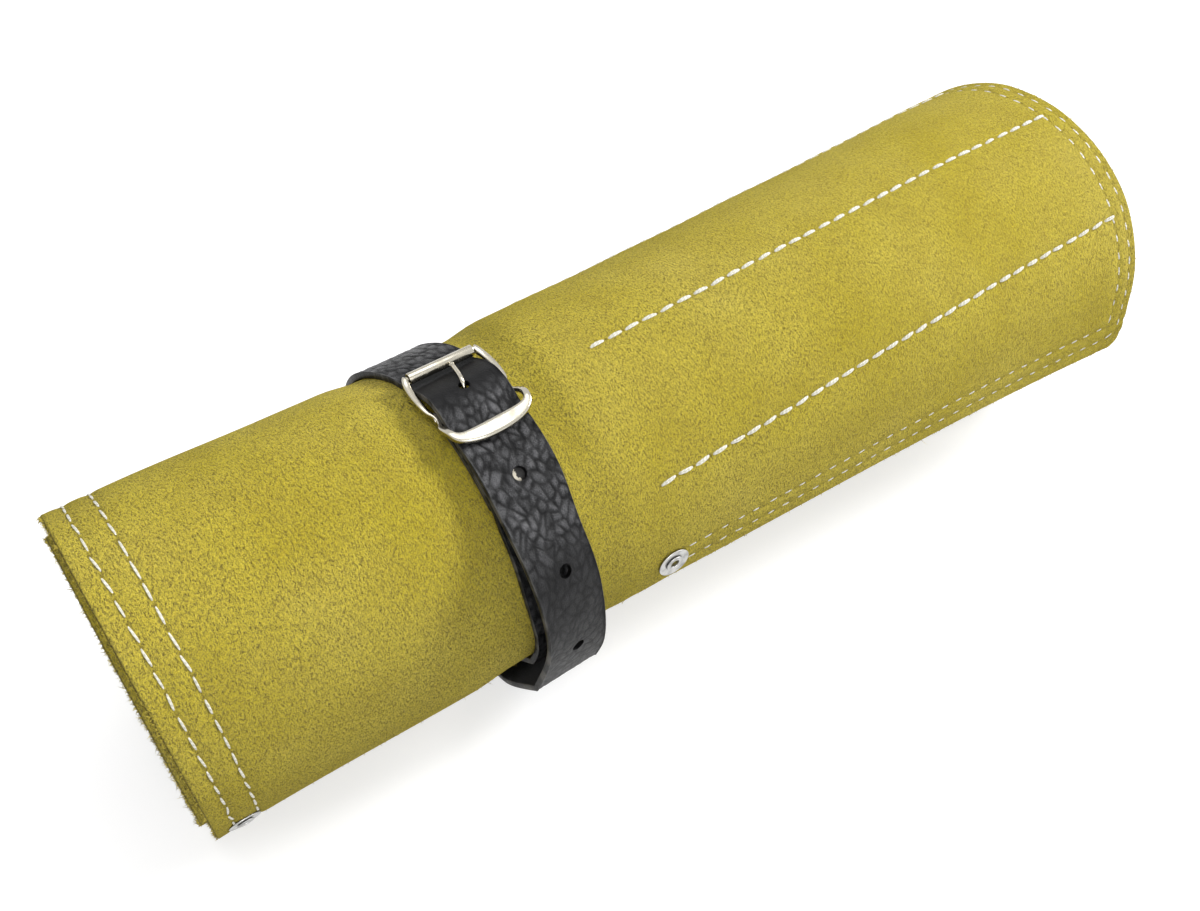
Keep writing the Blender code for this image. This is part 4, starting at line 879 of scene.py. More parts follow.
def seam_paths():
    """Flat paths of the seams as (name, points), each points an array of (u, x)."""
    paths = []
    for i, x in enumerate(LEFT_ROWS):
        u = np.linspace(LEFT_ROW_START, SHEET_LENGTH - LEFT_ROW_START, 900)
        paths.append((f"left_stitches_{i + 1}", np.stack((u, np.full_like(u, x)), axis=-1)))
    start = DIVIDER_START + 5.5 * MM
    for i, (edge, rim, round_off) in enumerate(zip(EDGE_ROWS, RIM_ROWS, (5.5 * MM, 3.5 * MM))):
        turn = np.linspace(0.0, 0.25 * TURN, 12)
        first = np.stack((edge + round_off * (1 - np.cos(turn)), rim - round_off * (1 - np.sin(turn))), axis=-1)
        last = np.stack((SHEET_LENGTH - first[::-1, 0], first[::-1, 1]), axis=-1)
        corners = np.concatenate((((edge, start),), first, last, ((SHEET_LENGTH - edge, start),)))
        lengths = path_lengths(corners)
        at = np.linspace(0.0, lengths[-1], 2400)
        points = np.stack([np.interp(at, lengths, corners[:, axis]) for axis in (0, 1)], axis=-1)
        paths.append((f"rim_stitches_{i + 1}", points))
    for k in range(DIVIDERS):
        x = np.linspace(DIVIDER_START, DIVIDER_END, 400)
        u = np.full_like(x, FIRST_DIVIDER + k * DIVIDER_SPACING)
        paths.append(("divider", np.stack((u, x), axis=-1)))
    return paths


def stitch_rings(path, seed, inside, looks):
    """Rings of every strand of one seam: lens shapes from hole to hole, two side by side.

    Each strand's middle line is lifted off the suede by a sine arch, and both ends dip under the surface.
    Its half width follows about the square root of the same arch.
    """
    thick_strand, apart, filled, sinking = looks
    generator = np.random.default_rng(seed)
    flat = path.copy()
    flat[:, 0] = flat[:, 0] + skew(path[:, 0], path[:, 1])
    lengths = path_lengths(flat)
    count = int(lengths[-1] / STITCH_PITCH)
    share = np.array((0.0, 0.1, 0.26, 0.5, 0.74, 0.9, 1.0))
    first = np.arange(count) * lengths[-1] / count
    fill = filled + 0.045 * generator.standard_normal(count)
    shift = 0.03 * generator.standard_normal(count)
    along = first[:, None] + STITCH_PITCH * (0.5 + shift[:, None] + fill[:, None] * (share - 0.5))
    if inside:
        along = along + 0.5 * STITCH_PITCH
    u, x = (np.interp(along, lengths, path[:, axis]) for axis in (0, 1))
    s = u + skew(u, x)
    arch = np.sin(math.pi * share)
    pulled = groove(u, x)
    sunk = ripple(u, x)
    normal = outward(s, x)
    if inside:
        face = on_sheet(s, x, INSIDE_FACE + sunk - 0.28 * MM * pulled)
        normal = -normal
    else:
        face = on_sheet(s, x, sunk + 0.30 * MM * pulled)
    heading = unit(np.gradient(face, axis=1))
    across = unit(np.cross(normal, heading))
    tilt = 0.10 + 0.10 * generator.standard_normal(count)
    rings, uvs = [], []
    for side in (-1.0, 1.0):
        thick = thick_strand * (1 + 0.10 * generator.standard_normal(count))[:, None]
        height = (0.06 + 0.22 * arch ** 0.7) * MM - 0.45 * MM * (1 - arch ** 0.35) - sinking
        slide = side * apart * arch ** 0.6 + tilt[:, None] * (share - 0.5) * 2.4 * MM
        middle = face + height[:, None] * normal + slide[..., None] * across
        half_width = thick * (0.30 + 0.70 * arch ** 0.55)
        half_height = thick * (0.35 + 0.55 * arch ** 0.5)
        strand = swept(middle, across, normal, half_width, half_height, 6)
        strand[..., 2] = np.maximum(strand[..., 2], 0.0)
        rings.append(strand)
        around = np.broadcast_to(np.arange(6) / 6.0, rings[-1].shape[:3])
        uvs.append(np.stack((np.broadcast_to(along[..., None], around.shape), around), axis=-1))
    return np.concatenate(rings), np.concatenate(uvs)


def stitch_faces(strands, rings, around):
    """Faces of many lofted strands at once, with a flat cap on each end; also used for the fibres."""
    one = np.array(grid_faces(rings, around, around=True, flip=True))
    first = np.arange(strands)[:, None, None] * rings * around
    quads = (one[None] + first).reshape(-1, 4).tolist()
    ring = np.arange(around)
    caps = np.concatenate((first[:, 0] + ring, first[:, 0] + (rings - 1) * around + ring[::-1]))
    return quads + caps.tolist()


def build_stitches():
    """All seams, as one piece of thread for each row and one for the dividers, outside and inside."""
    gathered = {}
    for number, (name, path) in enumerate(seam_paths()):
        for inside in (False, True):
            looks = SEAM_LOOKS[name.split("_")[0]]
            rings, uv = stitch_rings(path, 40 + number + 100 * inside, inside, looks)
            key = name + ("_inside" if inside else "_outside")
            gathered.setdefault(key, []).append((rings, uv))
    for name, found in gathered.items():
        rings, uv = (np.concatenate(values) for values in zip(*found))
        add_piece(name, rings, stitch_faces(*rings.shape[:3]), uv, THREAD, "roll")


# ---------- Strap ----------

HALF_WIDTH, HALF_HEIGHT, PITCH, EDGE_ANGLE = (float(value) for value in section(np.array(STRAP_X))[1:5])
EDGE_PASS_ANGLE = math.radians(4.0)


def strap_ground(angle, lift):
    """(y, z) at a height above the roll's face under the strap, with a parabola over the free edge's step."""
    angle = np.asarray(angle, float)
    above = angle >= EDGE_ANGLE
    turned = np.where(above, angle - EDGE_ANGLE, angle - EDGE_ANGLE + TURN)
    y, z = spiral(turned, np.array(STRAP_X), 0.0)
    span = math.sqrt(2.0 * PITCH / HALF_WIDTH)
    climb = np.clip((angle - EDGE_ANGLE + span + EDGE_PASS_ANGLE) / span, 0.0, 1.0) ** 2
    height = lift + np.where(above, 0.0, PITCH * climb)
    normal_y, normal_z = -HALF_HEIGHT * np.cos(angle), HALF_WIDTH * np.sin(angle)
    length = np.hypot(normal_y, normal_z)
    return y + height * normal_y / length, z + height * normal_z / length


ORIGIN = np.array(strap_ground(BUCKLE_ANGLE, 0.0))
OUT = unit(np.array(strap_ground(BUCKLE_ANGLE, HALF_WIDTH)) - ORIGIN)
ALONG = np.array((OUT[1], -OUT[0]))
BAR_HEIGHT = LAYER_GAP + SKIVED + BAR_CLEARANCE + BAR_RADIUS


def height_over_bar(reach, lift):
    """Height in the buckle's frame of a point lifted off the roll's curved face."""
    y, z = strap_ground(BUCKLE_ANGLE + reach / HALF_WIDTH, lift)
    return float((y - ORIGIN[0]) * OUT[0] + (z - ORIGIN[1]) * OUT[1])


OVER_BAR = BAR_HEIGHT + BAR_RADIUS + BAR_CLEARANCE
OVER_RETURN = 2.0 * LAYER_GAP + SKIVED
UNDER_KEEPER = OVER_RETURN + SKIVED + LAYER_GAP


def strap_profile(travel):
    """Height of the strap's inner face and its thickness, travel radians on from the centre bar.

    It falls from the bar over its own return layer to the roll, presses in under the roller, and ends in a hump
    over the fold.
    """
    reach = travel * HALF_WIDTH
    start = eased(reach, np.array((0.0, 5.0, 24.6, 30.6)) * MM, (OVER_BAR, OVER_RETURN, OVER_RETURN, SEAT_GAP))
    levels = np.array((*HUMP_LEVELS, (UNDER_KEEPER - SEAT_GAP) / MM)) * MM
    hump = bent(reach, TURN * HALF_WIDTH + np.array(HUMP_PLACES) * MM, levels, HUMP_BEND)
    skive = smoothstep(reach, 11 * MM, 18 * MM)
    return start + hump, SKIVED + (STRAP_THICKNESS - SKIVED) * skive


def tail_level(travel):
    """Height of the free end's inner face over the roll while it lies on the fixed strap."""
    return bent(travel * HALF_WIDTH, np.array((10.0, 18.0, 26.0, 50.0)) * MM,
                np.array((3.15, 3.75, 3.75, 2.35)) * MM, 3 * MM)


def strap_drift(travel):
    """Sideways drift of the strap: to the right on the roll's lower front, to the left behind its top."""
    angle = np.degrees(BUCKLE_ANGLE - travel)
    front = (1.0 - smoothstep(angle, -18.0, 18.0)) * smoothstep(angle, -130.0, -70.0)
    back = smoothstep(angle, -110.0, -222.0) * (1.0 - smoothstep(angle, -224.0, -266.0))
    return DRIFT_RIGHT * front - DRIFT_LEFT * back


def strap_rows(split):
    """Middle line and thickness of the fixed strap: return layer, fold round the bar, once round the roll."""
    radius = BAR_RADIUS + BAR_CLEARANCE + 0.5 * SKIVED
    reach = np.linspace(-RETURN_LENGTH, 0.0, 40)[:-1]
    y1, z1 = strap_ground(BUCKLE_ANGLE + reach / HALF_WIDTH, LAYER_GAP + 0.5 * SKIVED)
    angle = np.linspace(-0.25, 0.25, 17)[:-1] * TURN
    y2, z2 = (ORIGIN[:, None] + radius * np.cos(angle) * ALONG[:, None]
              + (BAR_HEIGHT + radius * np.sin(angle)) * OUT[:, None])
    end = TURN + split / HALF_WIDTH
    travel = np.concatenate((np.arange(0.0, 0.9, 0.8 * MM / HALF_WIDTH), np.linspace(0.9, end - 0.7, 230),
                             np.linspace(end - 0.7, end, 84)[1:]))
    inner, thickness = strap_profile(travel)
    y3, z3 = strap_ground(BUCKLE_ANGLE - travel, inner + 0.5 * thickness)
    flat = np.full(len(y1) + len(y2), SKIVED)
    return (np.concatenate((np.full(len(flat), STRAP_X), STRAP_X + strap_drift(travel))),
            np.concatenate((y1, y2, y3)), np.concatenate((z1, z2, z3)), np.concatenate((flat, thickness)))


def tail_rows(split):
    """Middle line of the free end from the split to the tip: over the keeper, bowed off the roll's front."""
    angles = np.linspace(BUCKLE_ANGLE - split / HALF_WIDTH, math.radians(TAIL_BOW_DEGREES[-1]), 900)
    bow = TAIL_BOW * bent(-np.degrees(angles), -np.array(TAIL_BOW_DEGREES), TAIL_BOW_SHARES, 5.0)
    y, z = strap_ground(angles, tail_level(BUCKLE_ANGLE - angles) + bow + 0.5 * STRAP_THICKNESS)
    rest = TAIL_FLOOR_GAP + 0.5 * STRAP_THICKNESS
    z = rest + 0.5 * ((z - rest) + np.hypot(z - rest, TAIL_FLOOR_BEND))
    kept = (angles > 0.0) | (y < TAIL_TIP_Y)
    y, z, angles = y[kept], z[kept], angles[kept]
    lengths = path_lengths(np.stack((y, z), axis=-1))
    places = np.append(np.arange(0.0, lengths[-1], 0.30 * MM), lengths[-1])
    return places, *(np.interp(places, lengths, values) for values in (y, z, angles))


def pebbles(along, across, strength):
    """Raised grain: 0 in the creases and 1 on the pebbles, from jittered cells stretched along the strap.

    For each point the nearest two cell centres are found; a parabola of their difference in distance is the height,
    and slow sine waves make some creases shallower than others.
    Larger cells carry the deep creases and cells of about half their size the fine wrinkles on the pebbles.
    """
    generator = np.random.default_rng(9)
    jitter = generator.random((128, 64, 2))
    level = 0.0
    for length, width, share, edge in ((3.2 * MM, 2.35 * MM, 0.80, 0.72), (1.45 * MM, 1.05 * MM, 0.20, 0.9)):
        a, b = along / length + 40.0, across / width + 20.0
        a, b = a + 0.30 * np.sin(b * 1.9 + 0.7 * np.sin(a)), b + 0.22 * np.sin(a * 1.3 + 1.0)
        cell_a, cell_b = np.floor(a).astype(int), np.floor(b).astype(int)
        found = np.full(a.shape + (2,), 9.0)
        for step_a in (-1, 0, 1):
            for step_b in (-1, 0, 1):
                spot = jitter[(cell_a + step_a) % 128, (cell_b + step_b) % 64]
                away = np.hypot(a - cell_a - step_a - spot[..., 0], b - cell_b - step_b - spot[..., 1])
                nearer = away < found[..., 0]
                found[..., 1] = np.where(nearer, found[..., 0], np.minimum(found[..., 1], away))
                found[..., 0] = np.where(nearer, away, found[..., 0])
        dip = (1.0 - np.clip((found[..., 1] - found[..., 0]) / edge, 0.0, 1.0)) ** 2
        depth = 0.72 + 0.28 * np.sin(2.3 * a + 2.0 * np.sin(1.7 * b)) * np.sin(1.9 * b + 1.0)
        level = level + share * (1.0 - dip * depth)
    return level * strength + (1.0 - strength) * 0.35


def ribbon_loop():
    """Shares of width and thickness round the strap's section, its four corners rounded, outer face first."""
    wide = np.linspace(-0.97, 0.97, 61)
    bend = np.radians((72, 45, 18, -18, -45, -72))
    right = np.stack((0.97 + 0.03 * np.cos(bend), 0.78 * np.sign(bend) + 0.22 * np.sin(bend)), axis=-1)
    inner = np.linspace(0.97, -0.97, 15)
    left = right[::-1] * (-1.0, 1.0)
    outer = np.stack((wide, np.ones_like(wide)), axis=-1)
    under = np.stack((inner, -np.ones_like(inner)), axis=-1)
    return np.concatenate((outer, right, under, left)), len(wide)


def ribbon(x, y, z, thickness, half_width, tilt, travel, strength):
    """Rings of the strap, and how far its grain is raised at each point.

    A ring's point is the middle line plus its share of the half width across and of the half thickness out;
    on the outer face the creases between pebbles sink by the relief, and the tilt lowers the right edge.
    """
    shares, outer_count = ribbon_loop()
    slope = slopes(y, z)
    out = np.stack((np.zeros_like(y), slope[:, 1], -slope[:, 0]), axis=-1)
    across = shares[:, 0] * half_width[:, None]
    grain = pebbles(np.broadcast_to(travel[:, None], across.shape), across, strength[:, None])
    on_face = np.zeros(len(shares))
    on_face[:outer_count] = np.clip((1.0 - np.abs(shares[:outer_count, 0])) / 0.06, 0.0, 1.0)
    height = 0.5 * thickness[:, None] * shares[:, 1] - GRAIN_RELIEF * (1.0 - grain) * on_face
    height = height - shares[:, 0] * tilt[:, None]
    middle = np.stack((x, y, z), axis=-1)
    points = middle[:, None] + height[..., None] * out[:, None]
    points[..., 0] += across
    uv = np.stack((np.broadcast_to(travel[:, None], across.shape), across), axis=-1)
    side = np.clip((np.abs(shares[:, 0]) - 0.955) / 0.03, 0.0, 1.0) * (np.abs(shares[:, 1]) < 0.99)
    cut = np.broadcast_to(side, across.shape)
    return points + ROOT_SHIFT, uv, np.where(on_face > 0.0, grain, 0.5), cut


def strap_piece(name, rings, uv, raised, cut, node, cutters):
    """A leather piece from its rings, with the cutters' shapes taken out of it."""
    piece = add_piece(name + "_uncut", rings, loft(rings), uv, LEATHER, None)
    add_attribute(piece.data, "raised", raised)
    add_attribute(piece.data, "cut", cut)
    for cutter in cutters:
        modifier = piece.modifiers.new("hole", "BOOLEAN")
        modifier.operation, modifier.solver, modifier.object = "DIFFERENCE", "EXACT", cutter
    bpy.context.view_layer.update()
    graph = bpy.context.evaluated_depsgraph_get()
    mesh = bpy.data.meshes.new_from_object(piece.evaluated_get(graph))
    mesh.name = name
    made = new_object(name, mesh)
    for used in (piece, *cutters):
        bpy.data.objects.remove(used, do_unlink=True)
    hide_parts(node)
    return made


def punch(rings):
    """Closed shape to be cut out of the leather."""
    return new_object("cutter", new_mesh("cutter", rings, loft(rings)))


def buckle_points(across, u, w):
    """Points of the buckle: across from the strap's middle, u behind the bar, w over the bar's axis.

    The buckle sits half a millimetre to the right of the strap's middle, and its keeper end is slightly twisted.
    """
    across, u, w = np.broadcast_arrays(*(np.asarray(value, float) for value in (across, u, w)))
    w = w + KEEPER_TWIST * smoothstep(-u, -1 * MM, 6 * MM) * across
    plane = ORIGIN + u[..., None] * ALONG + (w + BAR_HEIGHT)[..., None] * OUT
    return np.stack((STRAP_X + BUCKLE_SHIFT + across, plane[..., 0], plane[..., 1]), axis=-1) + ROOT_SHIFT


def buckle_matrix(u, w, axis_across):
    """Placement in the buckle's frame with Z across the strap, or out of it."""
    across = unit(buckle_points(MM, u, w) - buckle_points(-MM, u, w))
    out = unit(np.cross(across, np.array((0.0, *ALONG))))
    along = np.cross(out, across)
    columns = (along, out, across) if axis_across else (across, along, out)
    return placement(*columns, buckle_points(0.0, u, w))


def hole_cutter(at, places, y, z, x=STRAP_X, radius=HOLE_RADIUS):
    """Punch for a round hole through the strap, at a distance along its middle line."""
    slope = slopes(y, z)
    spot = [np.interp(at, places, values) for values in (y, z, slope[:, 0], slope[:, 1])]
    along = unit(np.array(spot[2:]))
    out, side = np.array((0.0, along[1], -along[0])), np.array((1.0, 0.0, 0.0))
    matrix = placement(side, np.cross(out, side), out, np.array((x, *spot[:2])) + ROOT_SHIFT)
    return punch(turned_points([(radius, 2 * MM), (radius, -2 * MM)], matrix, 32))


def build_fixed_strap():
    """The fixed strap: smooth under the roller, with the prong's slot in the fold and its hole in the hump."""
    x, y, z, thickness = strap_rows(STRAP_END)
    lengths = path_lengths(np.stack((y, z), axis=-1))
    before_end = lengths[-1] - lengths
    # Almost no grain on the smooth stretch between the roller and the prong's hole. The strong grain further back also
    # lightens the colour there: a painted sheen on the back of the strap, which is seen at a grazing angle.
    strength = np.maximum(0.06 + 0.94 * smoothstep(-before_end, -15 * MM, -8 * MM),
                          0.85 * smoothstep(before_end, 27.5 * MM, 33 * MM))
    lifted = 1.0 - smoothstep(lengths, 50 * MM, 64 * MM) * smoothstep(before_end, 34 * MM, 48 * MM)
    half = np.full_like(y, 0.5 * STRAP_WIDTH)
    rings, uv, raised, cut = ribbon(x, y, z, thickness, half, -EDGE_LIFT * lifted, -before_end, strength)
    corners = np.array(((-1.5, -2.2), (1.5, -2.2), (1.5, 2.2), (-1.5, 2.2))) * MM
    slot = np.array([buckle_points(corners[:, 0], u, corners[:, 1]) for u in (3.5 * MM, -3.5 * MM)])
    hole = hole_cutter(lengths[-1] - STRAP_END - PRONG_HOLE_REACH, lengths, y, z, radius=PRONG_HOLE_RADIUS)
    strap = strap_piece("strap_leather", rings, uv, raised, cut, "strap", [punch(slot), hole])
    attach(strap, "roll")


def build_tail():
    """The free end with its spare holes and rounded tip, from the split just below the keeper."""
    places, y, z, angles = tail_rows(STRAP_END + 0.05 * MM)
    short = np.maximum(TIP_ROUNDING - (places[-1] - places), 0.0)
    narrowing = TIP_ROUNDING - np.sqrt(TIP_ROUNDING ** 2 - 0.98 * short ** 2)
    tilt = TAIL_TILT * eased(-np.degrees(angles), -np.array(TAIL_TILT_DEGREES), TAIL_TILT_SHARES)
    tilt = tilt - EDGE_LIFT * (1.0 - smoothstep(places, 6 * MM, 22 * MM))
    # The grain flattens from 22 to 40 mm down the tail. The lower grain level also darkens the colour there: painted
    # shade on the part that faces away from the lamps.
    strength = 1.0 - 0.68 * smoothstep(places, 22 * MM, 40 * MM)
    x = STRAP_X - TAIL_SHIFT * smoothstep(places, 8 * MM, 30 * MM)
    full = np.full_like(y, STRAP_THICKNESS)
    rings, uv, raised, cut = ribbon(x, y, z, full, 0.5 * STRAP_WIDTH - narrowing, tilt, places, strength)
    first = HOLE_SPACING - PRONG_HOLE_REACH - STRAP_END
    cutters = [hole_cutter(first + k * HOLE_SPACING, places, y, z, STRAP_X - TAIL_HOLE_SHIFT) for k in range(3)]
    tail = strap_piece("strap_tail_leather", rings, uv, raised, cut, "strap_tail", cutters)
    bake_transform(tail)


# ---------- Buckle ----------

# Outlines of the frame's right half, as shares of its half width and of the reach of the keeper or the end bar
KEEPER_OUTER = ((0.0, 1.0), (0.3, 0.985), (0.56, 0.93), (0.77, 0.83), (0.90, 0.69), (0.96, 0.49), (0.975, 0.28),
                (0.89, 0.115), (0.872, 0.0))
KEEPER_INNER = ((0.0, 0.655), (0.3, 0.655), (0.52, 0.65), (0.68, 0.63), (0.775, 0.575), (0.82, 0.47), (0.836, 0.27),
                (0.775, 0.11), (0.762, 0.0))
SIDE_OUTER = ((0.892, 0.08), (0.955, 0.2), (0.985, 0.42), (0.985, 0.64), (0.955, 0.84), (0.91, 0.98), (0.85, 1.06))
SIDE_INNER = ((0.772, 0.08), (0.835, 0.2), (0.848, 0.42), (0.845, 0.62), (0.82, 0.80), (0.79, 0.90), (0.775, 0.955))
RING_STEPS = 24


def closed_curve(points, steps):
    """Catmull-Rom curve through a closed loop of points, with so many steps between each two."""
    before, start = np.roll(points, 1, axis=0), points
    end, after = np.roll(points, -1, axis=0), np.roll(points, -2, axis=0)
    t = (np.arange(steps) / steps)[None, :, None]
    a, b, c, d = (values[:, None] for values in (before, start, end, after))
    made = 0.5 * (2 * b + (c - a) * t + (2 * a - 5 * b + 4 * c - d) * t ** 2 + (3 * b - 3 * c + d - a) * t ** 3)
    return made.reshape(-1, points.shape[1])


def frame_loop(keeper, side, bar_side):
    """One outline of the buckle's frame, all round: the right half and its mirror image."""
    half = [(across * FRAME_HALF_WIDTH, -along * KEEPER_REACH) for across, along in keeper]
    half += [(across * FRAME_HALF_WIDTH, along * END_BAR_REACH) for across, along in side]
    shoulder = 0.5 * ROLLER_LENGTH + 0.3 * MM
    half += [(shoulder, bar_side), (0.5 * shoulder, bar_side), (0.0, bar_side)]
    return np.array(half + [(-across, along) for across, along in half[-2:0:-1]])


def frame_heights():
    """Heights over the centre bar of the keeper's middle and of the roller's axis."""
    keeper = height_over_bar(-PASS_DROP_END, UNDER_KEEPER + STRAP_THICKNESS) + KEEPER_GAP + 0.5 * FRAME_THICKNESS
    roller = height_over_bar(END_BAR_REACH, SEAT_GAP + STRAP_THICKNESS) + ROLLER_GAP + ROLLER_RADIUS
    return keeper - BAR_HEIGHT, roller - BAR_HEIGHT


def build_buckle():
    """Cast frame, roller and centre bar.

    The frame is a closed loop between two outlines; its section is a superellipse, flat on top and rounded
    at the sides, carried round the loop and lifted to the keeper's and the roller's heights.
    """
    keeper_height, roller_height = frame_heights()
    outer = closed_curve(frame_loop(KEEPER_OUTER, SIDE_OUTER, END_BAR_REACH + 0.5 * END_BAR_SIZE), 8)
    inner = closed_curve(frame_loop(KEEPER_INNER, SIDE_INNER, END_BAR_REACH - 0.5 * END_BAR_SIZE), 8)
    middle, half = 0.5 * (outer + inner), 0.5 * (outer - inner)
    slim = np.clip((np.linalg.norm(half, axis=1) / MM - 0.6) / 0.35, 0.0, 1.0)
    thick = 0.5 * (END_BAR_SIZE + (FRAME_THICKNESS - END_BAR_SIZE) * slim)
    rise = np.where(middle[:, 1] < 0.0, keeper_height * smoothstep(-middle[:, 1], 0.0, KEEPER_RISE),
                    roller_height * smoothstep(middle[:, 1], 0.0, END_BAR_REACH))
    angle = np.arange(RING_STEPS) * TURN / RING_STEPS
    wide = np.sign(np.cos(angle)) * np.abs(np.cos(angle)) ** 0.5
    high = np.sign(np.sin(angle)) * np.abs(np.sin(angle)) ** 0.62
    across = middle[:, None, 0] + half[:, None, 0] * wide
    u = middle[:, None, 1] + half[:, None, 1] * wide
    w = rise[:, None] + thick[:, None] * high
    faces = ring_faces(len(middle), RING_STEPS)
    add_piece("buckle_frame_look", buckle_points(across, u, w), faces, None, NICKEL, "buckle",
              ("buckle_frame",))

    end = 0.5 * ROLLER_LENGTH
    tube = rounded_profile([(ROLLER_RADIUS, end), (ROLLER_RADIUS, -end), (ROLLER_BORE, -end), (ROLLER_BORE, end)],
                           0.12 * MM, 4)
    turned_piece("buckle_roller_look", tube, buckle_matrix(END_BAR_REACH, roller_height, True), 40, NICKEL,
                 "roller")

    inner_face = KEEPER_INNER[-1][0] * FRAME_HALF_WIDTH
    head = KEEPER_OUTER[-1][0] * FRAME_HALF_WIDTH + 0.1 * MM
    bar = [(0.02 * MM, head + 0.12 * MM), (0.4 * MM, head + 0.1 * MM), (0.55 * MM, head), (0.5 * MM, head - 0.2 * MM),
           (0.5 * MM, inner_face - 0.3 * MM), (BAR_RADIUS, inner_face - 0.3 * MM)]
    bar = bar + [(radius, -height) for radius, height in reversed(bar)]
    turned_piece("centre_bar_look", bar, buckle_matrix(0.0, 0.0, True), 24, NICKEL, "buckle", False)


def bezier(a, b, c, d, count=14):
    """Points of a cubic curve after its start."""
    t = np.linspace(0.0, 1.0, count + 1)[1:, None]
    return (1 - t) ** 3 * a + 3 * (1 - t) ** 2 * t * b + 3 * (1 - t) * t * t * c + t ** 3 * d


def build_prong():
    """Prong: a wire curled round the bar, arched through the strap's hole, with a ball at its tip.

    It leans to the right by a power of the distance from the bar.
    """
    curl = BAR_RADIUS + 0.15 * MM + PRONG_RADIUS
    angles = np.radians(np.linspace(75.0, 335.0, 30))
    ring = np.stack((curl * np.cos(angles), curl * np.sin(angles)), axis=-1)
    hole = np.array((4.2 * MM, 5.2 * MM - BAR_HEIGHT))
    crest = np.array((6.4 * MM, 5.6 * MM - BAR_HEIGHT))
    shoulder = np.array((9.4 * MM, 4.1 * MM - BAR_HEIGHT))
    tip = np.array((12.2 * MM, 2.5 * MM - BAR_HEIGHT))
    end = angles[-1]
    leaving = ring[-1] + curl * np.array((-math.sin(end), math.cos(end)))
    climb = np.array((math.cos(PRONG_HOLE_ANGLE), math.sin(PRONG_HOLE_ANGLE)))
    into = hole - curl * climb
    falling = 0.4 * tip + 0.6 * (2.0 * shoulder - crest)
    line = np.concatenate((ring, bezier(ring[-1], leaving, into, hole), bezier(hole, 2 * hole - into, crest, shoulder),
                           bezier(shoulder, falling, 0.5 * (shoulder + tip), tip)))
    heading = unit(line[-1] - line[-2])
    ball = np.array((-0.68, -0.5, -0.25, 0.0, 0.25, 0.5, 0.7, 0.85, 0.95, 0.995))
    line = np.concatenate((line[:-4], line[-1] + ball[:, None] * PRONG_TIP_RADIUS * heading))
    radius = np.concatenate((np.full(len(line) - len(ball), PRONG_RADIUS), PRONG_TIP_RADIUS * np.sqrt(1 - ball ** 2)))
    slope = unit(np.gradient(line, axis=0))
    lean = PRONG_LEAN * np.clip((line[:, 0] - 2.5 * MM) / (9.7 * MM), 0.0, 1.0) ** 1.1
    middle = buckle_points(lean - BUCKLE_SHIFT, line[:, 0], line[:, 1])
    out = np.stack((-slope[:, 1], slope[:, 0]), axis=-1)
    out = np.concatenate((np.zeros((len(line), 1)), out[:, :1] * ALONG + out[:, 1:] * OUT), axis=1)
    across = np.broadcast_to(np.array((1.0, 0.0, 0.0)), out.shape)
    rings = swept(middle, across, out, radius, radius, 16)[:, ::-1]
    add_piece("prong_look", rings, loft(rings), None, NICKEL, "prong", ("prong",))


# ---------- Rivets ----------

# Turned profiles in mm as (radius, height over the sheet's outer face); the rivet's goes on to its inner head
RIVET_TOP = ((1.58, 1.25), (2.35, 1.22), (2.58, 1.0), (2.45, 0.8), (1.9, 0.8))
WASHER = ((2.15, 0.6), (4.7, 0.75), (4.7, 0.35), (2.15, 0.2))
INNER_HEAD_RADIUS = 4.7 * MM
FLAP_RIVET_SIZE = 0.86
FLAP_RIVET_SINKING = 0.45 * MM
FLAP_RIVET_SHIFT = 1.4 * MM


def rivet_matrix(s, x):
    """Placement on the sheet's outer face with Z out of it."""
    out = outward(np.array(s), np.array(x))
    side = unit(np.cross(out, (0.0, 0.0, 1.0)))
    return placement(side, np.cross(out, side), out, on_sheet(s, x, 0.0))


def build_rivets():
    """The four tubular rivets with their washers, and the finish of the strap's solid rivets.

    A rivet's inner head lies flat under the curved sheet, so it stands off by the rise of the curve over it.
    """
    inner_s = SHEET_LENGTH - RIVET_FROM_EDGE
    places = (("mouth", "outer", RIVET_FROM_EDGE, RIVET_X, 0.0), ("mouth", "inner", inner_s, RIVET_X, 0.0),
              ("flap", "outer", RIVET_FROM_EDGE, FLAP_RIVET_X, FLAP_RIVET_SHIFT),
              ("flap", "inner", inner_s, FLAP_RIVET_X, 0.0))
    for kind, side, s, x, shift in places:
        matrix = rivet_matrix(s - shift, x)
        if kind == "flap":
            matrix[:3, 3] -= FLAP_RIVET_SINKING * matrix[:3, 2]
            matrix[:3, :2] *= FLAP_RIVET_SIZE
        sizes = section(np.array(x))
        half_width, pitch = float(sizes[1]), float(sizes[3])
        turned = float(turned_at(np.array(s), np.array(x)))
        rise = 0.5 * INNER_HEAD_RADIUS ** 2 / (half_width - pitch * turned / TURN - INSIDE_FACE)
        face = -(INSIDE_FACE + 0.25 * MM + rise)
        low = face - 0.5 * MM
        tube = [(radius * MM, height * MM) for radius, height in RIVET_TOP]
        tube += [(1.9 * MM, face), (INNER_HEAD_RADIUS, face), (4.56 * MM, low), (1.25 * MM, low),
                 (1.25 * MM, 1.1 * MM)]
        turned_piece(f"{kind}_rivet_{side}_look", rounded_profile(tube, 0.2 * MM), matrix, 40, ZINC, "roll")
        washer = [(radius * MM, height * MM) for radius, height in WASHER]
        turned_piece(f"{kind}_washer_{side}_look", rounded_profile(washer, 0.18 * MM), matrix, 48, ZINC, "roll")
    for name, finish in (("fold_rivet", SHADOWED_HEAD), ("anchor_rivet", ZINC), ("anchor_washer", ZINC)):
        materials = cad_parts[name].data.materials
        materials.clear()
        materials.append(finish)


# ---------- Stage, light and camera ----------

